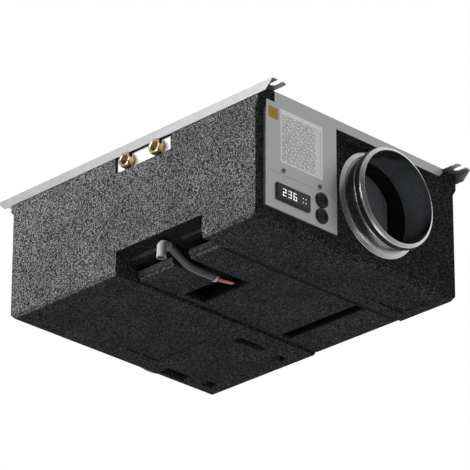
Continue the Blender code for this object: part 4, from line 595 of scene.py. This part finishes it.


# The pale beads are partly the foam's own lighter beads and partly painted glints of the beads' sheen.
FOAM = {"Cells": 460.0, "Dark": (0.011, 0.0115, 0.012, 1), "Light": (0.34, 0.343, 0.35, 1)}
DARK_FOAM = {"Cells": 480.0, "Dark": grey(0.008), "Light": grey(0.05)}
FINISHES = {
    "foam": finish("charcoal_foam", BEAD_SKIN, FOAM, specular=0.03, bump=0.6, bump_depth=0.0006),
    "dark_foam": finish("black_foam", BEAD_SKIN, DARK_FOAM, specular=0.03, bump=0.5, bump_depth=0.0006),
    "galvanised": finish("galvanised_sheet", SHEET_SKIN, sheet(120.0, (0.57, 0.575, 0.58, 1), 0.035, 0.42),
                         metallic=1.0, bump=0.008),
    "spigot": finish("spigot_sheet", FINE_SKIN, fine(60.0, (0.68, 0.682, 0.69, 1), 0.05, 0.24),
                     metallic=1.0, bump=0.02),
    "pale_plate": finish("pale_plate", FINE_SKIN, fine(260.0, (0.50, 0.50, 0.49, 1), 0.04, 0.42),
                         specular=0.5, bump=0.05),
    "brass": finish("polished_brass", FINE_SKIN, fine(320.0, (0.56, 0.44, 0.25, 1), 0.10, 0.24),
                    metallic=1.0, bump=0.05),
    "copper": finish("bare_copper", FINE_SKIN, fine(240.0, (0.40, 0.19, 0.11, 1), 0.14, 0.30),
                     metallic=1.0, bump=0.06),
    "aluminium": finish("fin_aluminium", SHEET_SKIN, sheet(200.0, (0.50, 0.52, 0.55, 1), 0.1, 0.40),
                        metallic=1.0, bump=0.3),
    "rubber": finish("black_rubber", FINE_SKIN, fine(420.0, grey(0.012), 0.2, 0.34),
                     specular=0.4, bump=0.08),
    "black_plastic": finish("black_plastic", FINE_SKIN, fine(600.0, grey(0.018), 0.15, 0.36), bump=0.1),
    "matte_black": finish("matte_black", FINE_SKIN, fine(500.0, grey(0.006), 0.2, 0.7),
                          specular=0.06, bump=0.1),
    "grey_plastic": finish("grey_plastic", FINE_SKIN, fine(500.0, grey(0.36), 0.06, 0.45), bump=0.08),
    "hose_grey": finish("grey_hose", FINE_SKIN, fine(260.0, (0.10, 0.10, 0.104, 1), 0.14, 0.34),
                        specular=0.45, bump=0.12),
    "elbow_grey": finish("grey_elbow", FINE_SKIN, fine(320.0, (0.24, 0.24, 0.25, 1), 0.1, 0.40), bump=0.1),
    "window": finish("dark_window", FINE_SKIN, fine(90.0, grey(0.006), 0.2, 0.10),
                     specular=0.5, bump=0.01, coat=0.3),
    "steel": finish("zinc_steel", SHEET_SKIN, sheet(220.0, (0.42, 0.42, 0.43, 1), 0.1, 0.34),
                    metallic=1.0, bump=0.06),
    "dark_steel": finish("dark_steel", SHEET_SKIN, sheet(300.0, (0.22, 0.22, 0.225, 1), 0.1, 0.30),
                         metallic=1.0, bump=0.04),
    "black_paint": finish("black_paint", FINE_SKIN, fine(380.0, grey(0.022), 0.2, 0.34),
                          bump=0.1, coat=0.15),
    "board": finish("board_green", FINE_SKIN, fine(300.0, (0.02, 0.12, 0.05, 1), 0.2, 0.4), bump=0.1),
    "media": finish("pleated_cloth", FINE_SKIN, fine(700.0, (0.44, 0.47, 0.51, 1), 0.12, 0.75),
                    specular=0.2, bump=0.3),
    "label": finish("silver_label", FINE_SKIN, fine(160.0, (0.95, 0.955, 0.96, 1), 0.03, 0.44),
                    metallic=0.9, bump=0.01),
    "print": finish("label_print", FINE_SKIN, fine(500.0, grey(0.09), 0.15, 0.6),
                    specular=0.2, bump=0.02),
    "yellow": finish("yellow_sticker", FINE_SKIN, fine(260.0, (0.85, 0.56, 0.03, 1), 0.05, 0.4), bump=0.03),
    "digits": finish("lit_digits", FINE_SKIN, fine(300.0, (0.85, 0.88, 0.90, 1), 0.05, 0.4),
                     bump=0.01, glow=0.75),
}


def paint(item, finish_name):
    """Gives an object one finish in its only material slot."""
    item.data.materials.clear()
    item.data.materials.append(FINISHES[finish_name])
    return item


print("finishes", len(FINISHES))

# %% [markdown]
# The casing, its middle cover and the filter hatch are moulded foam. Their corners are never knife-sharp,
# since the beads round them off, so each gets a dressed copy with a bevel of about a millimetre. A thin black
# strip along the front joint of the middle cover is painted shade for the groove's shadow, and the mould
# leaves a round mark on the left.

# %% Foam pieces
# Box of the thin black strip that is painted shade for the shadow in the cover's front groove.
JOINT_SHADOW_BOX = ((58.0, 128.4, 4.8), (462.0, 136.0, 5.05))
MARK_PLACE = (0, 306, 77)
MARK_PROFILE = [(8.6, 0.3), (9.0, -0.4), (9.6, -0.5), (10.2, -0.4), (10.6, 0.3)]


def box_piece(name, low, high, body):
    """Plain box between two places in millimetres."""
    corners = [(0, 0), (1, 0), (1, 1), (0, 1)]
    ends = (low, high)
    points = [at(ends[a][0], ends[b][1], end[2]) for end in ends for a, b in corners]
    return add_piece(name, points, BOX_FACES, body, smooth_angle=20)


for node, width in (("casing", 1.2), ("middle_cover", 1.0), ("filter_hatch", 0.8)):
    paint(dressed(node, width), "foam")
paint(dressed("casing_lid", 1.5), "dark_foam")
cover_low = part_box("middle_cover")[0]
# Painted shade: a black strip laid where the shadow of the cover's front groove falls.
paint(box_piece("cover_joint_shadow_strip", *JOINT_SHADOW_BOX, "cover"), "matte_black")
paint(turned_piece("mould_mark", MARK_PROFILE, at(*MARK_PLACE), "X", 64), "foam")
print("foam pieces dressed, cover from", [round(float(value), 4) for value in cover_low])

# %% [markdown]
# The folded plate, the lower panel and the connection plate are thin sheet. Their cut edges are broken by a
# very narrow bevel that catches the light along each fold.

# %% Sheet pieces
for node in ("top_plate", "service_cover"):
    paint(dressed(node, 0.25, segments=1), "galvanised")
paint(dressed("connection_plate", 0.2, segments=1), "pale_plate")
for node in ("electrical_box", "transformer", "accumulator_strap", "hose_clip"):
    paint(dressed(node, 0.2, segments=1), "steel")
print("sheet pieces dressed")

# %% [markdown]
# A spigot is spun from thin sheet: a base flange, a sleeve, two raised ribs that hold the gasket between them
# and a slanting rolled mouth. It is one profile turned about the duct's axis, with every corner rounded by a
# small curve. The gasket has two thin lips that lean back, so that the duct slides on and does not slide off.

# %% Spigots
SPIGOTS = {"front_spigot": (285.0, 0.0, "-Y"), "back_spigot": (361.0, 580.0, "Y")}
SPIGOT_PROFILE = [
    (80.9, 45.9), (81.4, 45.8), (84.2, 43.9), (85.9, 42.9), (86.8, 41.6), (86.6, 40.3), (84.5, 39.5),
    (85.9, 38.0), (81.7, 38.0), (81.7, 29.0),
    (85.9, 29.0), (85.9, 27.0), (84.5, 24.5), (84.5, 5.6), (84.9, 4.5), (86.0, 3.8), (92.2, 1.5),
    (93.0, 1.0), (92.9, 0.3), (81.7, 0.3),
    (81.7, -14.0), (80.5, -14.0), (80.5, 45.6),
]
GASKET_PROFILE = [
    (82.0, 37.7), (84.1, 37.7), (88.2, 34.7), (84.6, 33.9), (84.4, 33.0), (87.8, 30.4), (84.1, 29.3),
    (82.0, 29.3),
]
rolled = soften(SPIGOT_PROFILE, 0.9, closed=True)
lipped = soften(GASKET_PROFILE, 0.5, closed=True)
for node, (right, face, axis) in SPIGOTS.items():
    origin = at(right, face, SPIGOT_HEIGHT)
    spun = turned_piece(f"{node}_spun", rolled, origin, axis, 192, smooth_angle=60)
    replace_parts(paint(spun, "spigot"), node)
    seal = turned_piece(f"{node}_seal", lipped, origin, axis, 160, smooth_angle=60)
    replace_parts(paint(seal, "rubber"), f"{node}_gasket")
print("spigots turned")

# %% [markdown]
# The controller sits in the lower panel: a bezel with rounded corners, a dark window, a row of lit digits and
# four small lamps. The digits are the usual seven bars each. A table of which bars are lit gives the digits
# 2, 3 and 6.

# %% Controller
SEGMENTS = {"2": "abged", "3": "abgcd", "6": "afgedc"}
DIGIT_LOW = 48.0
DIGIT_HEIGHT = 12.5
DIGIT_WIDTH = 7.4
DIGIT_LEFTS = {"2": 52.0, "3": 64.0, "6": 76.0}
BAR = 1.35
LAMP = 1.8
LAMP_LEFTS = (97.5, 103.5)
LAMP_LEVELS = (57.0, 50.2)
PRINT_DEPTH = 0.15 * MM


def digit_bars(sign, left):
    """Rectangles (left, low, right, high) of the lit bars of one digit."""
    right = left + DIGIT_WIDTH
    low = DIGIT_LOW
    high = low + DIGIT_HEIGHT
    middle = (low + high) / 2
    bars = {
        "a": (left, high - BAR, right, high), "d": (left, low, right, low + BAR),
        "g": (left, middle - BAR / 2, right, middle + BAR / 2), "b": (right - BAR, middle, right, high),
        "c": (right - BAR, low, right, middle), "f": (left, middle, left + BAR, high),
        "e": (left, low, left + BAR, middle),
    }
    return [bars[segment] for segment in SEGMENTS[sign]]


paint(dressed("display_housing", 0.5), "black_plastic")
paint(dressed("display_window", 0.15), "window")
window_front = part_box("display_window")[0][1]
lit = [bar for sign, left in DIGIT_LEFTS.items() for bar in digit_bars(sign, left)]
lit += [(left, low, left + LAMP, low + LAMP) for low in LAMP_LEVELS for left in LAMP_LEFTS]
paint(bars_piece("display_digits", lit, window_front - PRINT_DEPTH, PRINT_DEPTH), "digits")
print("lit bars", len(lit))

# %% [markdown]
# The rating label on the upper panel is a plain silver sticker. Ruled lines and dashes stand for its table,
# with no words. A small square yellow sticker beside it is left bare too.

# %% Stickers
PANEL_FACE = at(0, SHEET_FRONT, 0)[1]
LABEL = (49, 108, 146, 203)
TABLE_LEFT = 53.0
TABLE_RIGHT = 142.0
TABLE_LOW = 111.5
TABLE_ROWS = 24
ROW_PITCH = 3.6
DASHES = 18
STICKER_DEPTH = 0.14 * MM
INK = 0.05 * MM


def rounded_rectangle(left, low, right, high, radius):
    """Corners of a rectangle rounded by the same curve as the profiles."""
    return soften([(left, low), (right, low), (right, high), (left, high)], radius, 6, closed=True)


sticker_front = PANEL_FACE - PRINT_DEPTH
label = slab_piece("rating_label", rounded_rectangle(*LABEL, 3), sticker_front, STICKER_DEPTH)
paint(label, "label")
row_levels = TABLE_LOW + ROW_PITCH * np.arange(TABLE_ROWS)
table_high = row_levels[-1]
rules = [(TABLE_LEFT, level, TABLE_RIGHT, level + 0.3) for level in row_levels]
rules += [(left, TABLE_LOW, left + width, table_high)
          for left, width in ((TABLE_LEFT - 0.3, 0.4), (109.0, 0.3), (TABLE_RIGHT - 0.2, 0.4))]
place = np.arange(DASHES)
for row, level in enumerate(row_levels[:-1]):
    dash = 1.2 + 3.4 * np.mod(0.618 * place + 0.37 * row, 1.0)
    left = TABLE_LEFT + 1.5 + np.concatenate([[0.0], np.cumsum(dash + 1.3)[:-1]])
    shown = (left + dash < TABLE_RIGHT - 1) & (np.mod(0.41 * place + 0.29 * row, 1.0) < 0.72)
    rules += [(low, level + 1.2, high, level + 2.2) for low, high in zip(left[shown], (left + dash)[shown])]
paint(bars_piece("label_rules", rules, sticker_front - INK, INK), "print")
sticker = slab_piece("yellow_sticker", rounded_rectangle(22, 180, 44, 200, 2), sticker_front, STICKER_DEPTH)
paint(sticker, "yellow")
print("rules on the label", len(rules))

# %% [markdown]
# Each cable grommet is a ribbed rubber ring with a raised middle, pressed into the sheet. The panel screws
# have low domed heads with a crossed recess, which is cut from the head with a Boolean.

# %% Grommets and screws
GROMMET_RIGHT = 143.5
SCREW_LEVEL = 94.0
GROMMET_PROFILE = [
    (0.0, 2.9), (2.2, 2.7), (3.0, 0.7), (4.6, 0.5), (5.2, 2.0), (6.6, 2.2), (7.2, 1.1), (8.2, 1.1),
    (9.0, 3.2), (11.4, 3.4), (12.8, 2.7), (13.5, 1.6), (13.6, 0.5),
    (10.7, 0.3), (10.7, -1.5), (13.0, -1.5), (12.2, -4.2), (4.0, -4.2), (4.0, -1.0), (0.0, -1.0),
]
ribbed = soften(GROMMET_PROFILE, 0.7)
for node, up in (("cable_grommet_lower", 43.0), ("cable_grommet_upper", 71.0)):
    ring = turned_piece(f"{node}_ring", ribbed, at(GROMMET_RIGHT, SHEET_FRONT, up), "-Y", 72, closed=False)
    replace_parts(paint(ring, "rubber"), node)


def cut_away(item, cutter):
    """Takes the cutter's space out of a piece and keeps the result as its mesh."""
    tool = item.modifiers.new("recess", "BOOLEAN")
    tool.object = cutter
    tool.solver = "EXACT"
    graph = bpy.context.evaluated_depsgraph_get()
    result = bpy.data.meshes.new_from_object(item.evaluated_get(graph))
    item.modifiers.clear()
    item.data = result
    bpy.data.objects.remove(cutter)
    return item


HEAD_PROFILE = [(0.0, 2.4), (1.6, 2.25), (3.0, 1.75), (3.8, 0.9), (4.0, 0.0), (0.0, 0.0)]
for node, right in (("panel_screw_left", 56.5), ("panel_screw_right", 139.5)):
    place = at(right, SHEET_FRONT - 0.3, SCREW_LEVEL)
    head = turned_piece(f"{node}_head", HEAD_PROFILE, place, "-Y", 40, closed=False)
    for wide, tall in ((2.9, 0.8), (0.8, 2.9)):
        slot = (right - wide, SCREW_LEVEL - tall, right + wide, SCREW_LEVEL + tall)
        cutter = bars_piece("cross_cutter", [slot], PANEL_FACE - 4 * MM, 2.4 * MM)
        head = cut_away(head, cutter)
    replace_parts(paint(head, "dark_steel"), node)
print("grommets and screws done")

# %% [markdown]
# The water couplings are brass hexagons with chamfered corners and a female thread. The radius of the outside
# is the smaller of the hexagon's own radius and a cone that grows away from the face, which gives the curved
# chamfer of a real nut. The bore's radius rises and falls along a helix, which is the thread.

# %% Brass couplings
FLATS = 24.5
BORE = 8.9
NECK = 9.5
THREAD_PITCH = 1.8
COUPLING_LEVEL = 198.5
COUPLINGS = {"water_coupling_front": 226.5, "water_coupling_back": 297.5}


def coupling(node, back):
    """Radius on a grid of (place along, angle) that runs from the neck's end out and back into the bore."""
    columns = 144
    angle = np.linspace(0, 2 * math.pi, columns, endpoint=False)
    flat = (FLATS / 2) / np.cos(np.mod(angle, math.pi / 3) - math.pi / 6)
    outer_along = np.concatenate([np.linspace(4.0, 2.6, 6), np.linspace(-7.4, -9.5, 9)])
    face_gap = np.minimum(outer_along + 9.5, 4.0 - outer_along)
    cone = FLATS / 2 - 0.4 + 1.9 * face_gap
    hexagon = np.minimum(flat[None], cone[:, None])
    bore_along = np.linspace(-8.9, 13.0, 120)
    phase = bore_along[:, None] / THREAD_PITCH - angle[None] / (2 * math.pi)
    ridge = np.abs(np.mod(phase, 1.0) - 0.5) * 2
    thread = BORE - 0.75 * ridge
    ones = np.ones((1, columns))
    radius = np.vstack([0 * ones, (NECK - 0.4) * ones, NECK * ones, NECK * ones, hexagon,
                        10.9 * ones, 10.2 * ones, 9.2 * ones, thread, 7.0 * ones, 0 * ones])
    along = np.concatenate([[27.0, 27.0, 26.6, 4.0], outer_along, [-9.5, -9.3, -9.3], bore_along,
                            [15.0, 15.0]])
    made = polar_piece(f"{node}_turned", radius * MM, along * MM, at(0, back, COUPLING_LEVEL), "X",
                       closed=False, smooth_angle=28)
    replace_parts(paint(made, "brass"), node)
    return made


for node, back in COUPLINGS.items():
    made = coupling(node, back)
    print(node, len(made.data.polygons), "faces")

# %% [markdown]
# The condensate leaves through a soft grey hose, from the copper nipple to a moulded elbow that points down.
# The hose is a tube along a smooth path. The elbow is a tube too, with a thicker collar at each end, and its
# wall turns back at the mouth into a bore.

# %% Drain
HOSE_RADIUS = 6.8 * MM
ELBOW_BACK = 228.0
ELBOW_BORE = 5.8 * MM
ELBOW_SIDES = 40
BEND_STEPS = 12
HOSE_PATH = [
    (30.3, 228.0, 29.4), (34.0, 228.0, 29.4), (42.0, 228.2, 25.6), (52.0, 228.4, 20.4), (62.0, 228.4, 14.9),
    (73.0, 228.2, 10.8), (88.0, 227.9, 8.5), (104.0, 227.6, 8.0), (118.0, 227.5, 8.1), (130.0, 227.5, 8.4),
    (139.7, 227.5, 8.4),
]
path = spline([at(*place) for place in HOSE_PATH], 6)
hose = tube_piece("drain_hose_tube", path, HOSE_RADIUS, 32)
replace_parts(paint(hose, "hose_grey"), "drain_hose")
turn = np.linspace(0, math.pi / 2, BEND_STEPS)
bend = np.column_stack([21.5 - 8.5 * np.sin(turn), 20.9 + 8.5 * np.cos(turn)])
elbow_line = [(30.0, 29.4), (29.6, 29.4), (26.0, 29.4), (25.6, 29.4), *bend.tolist(),
              (13.0, 9.4), (13.0, 9.0), (13.0, 4.5), (13.0, 4.0)]
elbow_path = np.array([at(right, ELBOW_BACK, up) for right, up in elbow_line])
elbow_radius = np.array([7.9, 8.4, 8.4, 7.8, *[7.8] * BEND_STEPS, 7.8, 8.4, 8.4, 8.0]) * MM
outside = tube_points(elbow_path, elbow_radius, ELBOW_SIDES)
inside = tube_points(elbow_path, ELBOW_BORE, ELBOW_SIDES)[:-5:-1]
ends = [np.repeat(elbow_path[place][None], ELBOW_SIDES, axis=0)[None] for place in (0, -4)]
rings = np.concatenate([ends[0], outside, inside, ends[1]])
elbow = add_piece("drain_elbow_moulded", rings, grid_faces(len(rings), ELBOW_SIDES), smooth_angle=50)
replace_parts(paint(elbow, "elbow_grey"), "drain_elbow")
paint(dressed("drain_nipple", 0.0, smooth_angle=50), "copper")
paint(dressed("drain_pan", 0.5), "matte_black")
print("hose points", len(path))

# %% [markdown]
# The filter is one long sheet folded into narrow pleats. Its outline from above has flat tips at the front
# and sharp folds at the back: the place across grows while the place back swings between the two.

# %% Filter
PLEATS = 40
TIP_END = 0.42
FOLD = 0.71
CLOTH = 0.5 * MM
media_low, media_high = (np.array(corner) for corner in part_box("filter_media"))


def pleats():
    """Folded wall: a flat tip, then a deep fold to the back edge and forward again, with a thin wall."""
    steps = np.arange(3 * PLEATS + 2)
    share = (steps // 3 + np.array([0.0, TIP_END, FOLD])[steps % 3]) / (PLEATS + TIP_END)
    across = media_low[0] + share * (media_high[0] - media_low[0])
    swing = (steps % 3 == 2) * (media_high[1] - media_low[1] - CLOTH)
    near = np.column_stack([across, media_low[1] + swing])
    far = near[::-1] + np.array([0, CLOTH])
    outline = np.vstack([near, far])
    rows = np.array([media_low[2], media_high[2]])
    points = np.concatenate([np.column_stack([outline, np.full(len(outline), level)]) for level in rows])
    count = len(outline)
    index = np.arange(count)
    after = np.roll(index, -1)
    sides = np.column_stack([index, after, after + count, index + count])
    half = np.arange(len(steps) - 1)
    mirror = count - 1 - half
    caps = np.column_stack([half, half + 1, mirror - 1, mirror])
    faces = np.vstack([sides, caps[:, ::-1], caps + count])
    return add_piece("filter_pleats", points, faces, "filter", smooth_angle=15)


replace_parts(paint(pleats(), "media"), "filter_media")
paint(dressed("filter_frame", 0.6), "black_plastic")
print("pleats", PLEATS)

# %% [markdown]
# Everything inside keeps its solid's shape, with merged and smoothed faces. Copper lines are bare and warm,
# the compressor is black enamel, and the coils are plain aluminium.

# %% Inner pieces
INNER = {
    "copper": ("water_pipe_front", "water_pipe_back", "discharge_line", "liquid_line", "filter_drier",
               "capillary_tube", "suction_line", "suction_elbow"),
    "aluminium": ("water_coil", "evaporator", "condenser"),
    "rubber": ("compressor_foot_1", "compressor_foot_2", "compressor_foot_3"),
    "black_plastic": ("fan_scroll", "fan_wheel", "terminal_cover"),
    "grey_plastic": ("run_capacitor", "terminal_block"),
    "steel": ("fan_shaft",),
    "black_paint": ("fan_motor", "compressor", "compressor_base", "accumulator"),
    "board": ("circuit_board",),
}
for finish_name, members in INNER.items():
    for node in members:
        paint(dressed(node, 0.0, smooth_angle=40), finish_name)
print("inner pieces", sum(len(members) for members in INNER.values()))

# %% [markdown]
# The floor lies far under the unit and shows white to the camera. It is part of the studio, not of the unit.

# %% Floor
def build_floor():
    """A wide flat square, pale, that lifts itself to white for the camera."""
    low, high = -FLOOR_HALF, FLOOR_HALF
    points = [(low, low, FLOOR_LEVEL), (high, low, FLOOR_LEVEL), (high, high, FLOOR_LEVEL),
              (low, high, FLOOR_LEVEL)]
    mesh = bpy.data.meshes.new("studio_floor")
    mesh.from_pydata(points, [], [[0, 1, 2, 3]])
    floor = bpy.data.objects.new("studio_floor", mesh)
    bpy.context.scene.collection.objects.link(floor)
    made = finish("studio_floor", FINE_SKIN, fine(3.0, grey(0.86), 0.01, 0.8), specular=0.1, bump=0.0)
    tree = made.node_tree
    shader = tree.nodes["Principled BSDF"]
    shader.inputs["Emission Color"].default_value = (1, 1, 1, 1)
    share = backdrop_share(tree, add_node(tree, "ShaderNodeTexCoord").outputs["Object"])
    mirrored = math_node(tree, "MULTIPLY", ray_share(tree, "Is Glossy Ray", *DIRECT_RAYS), share)
    strength = weighted(tree, mirrored, FLOOR_MIRRORED, ray_share(tree, "Is Camera Ray"), FLOOR_SEEN)
    tree.links.new(strength, shader.inputs["Emission Strength"])
    mesh.materials.append(made)


build_floor()
bpy.context.scene.view_settings.view_transform = "Standard"

# %% [markdown]
# The dressed unit must stay the size of the solid one; the script ends by bringing the view layer up to date.

# %% Bring the scene up to date
bpy.context.view_layer.update()
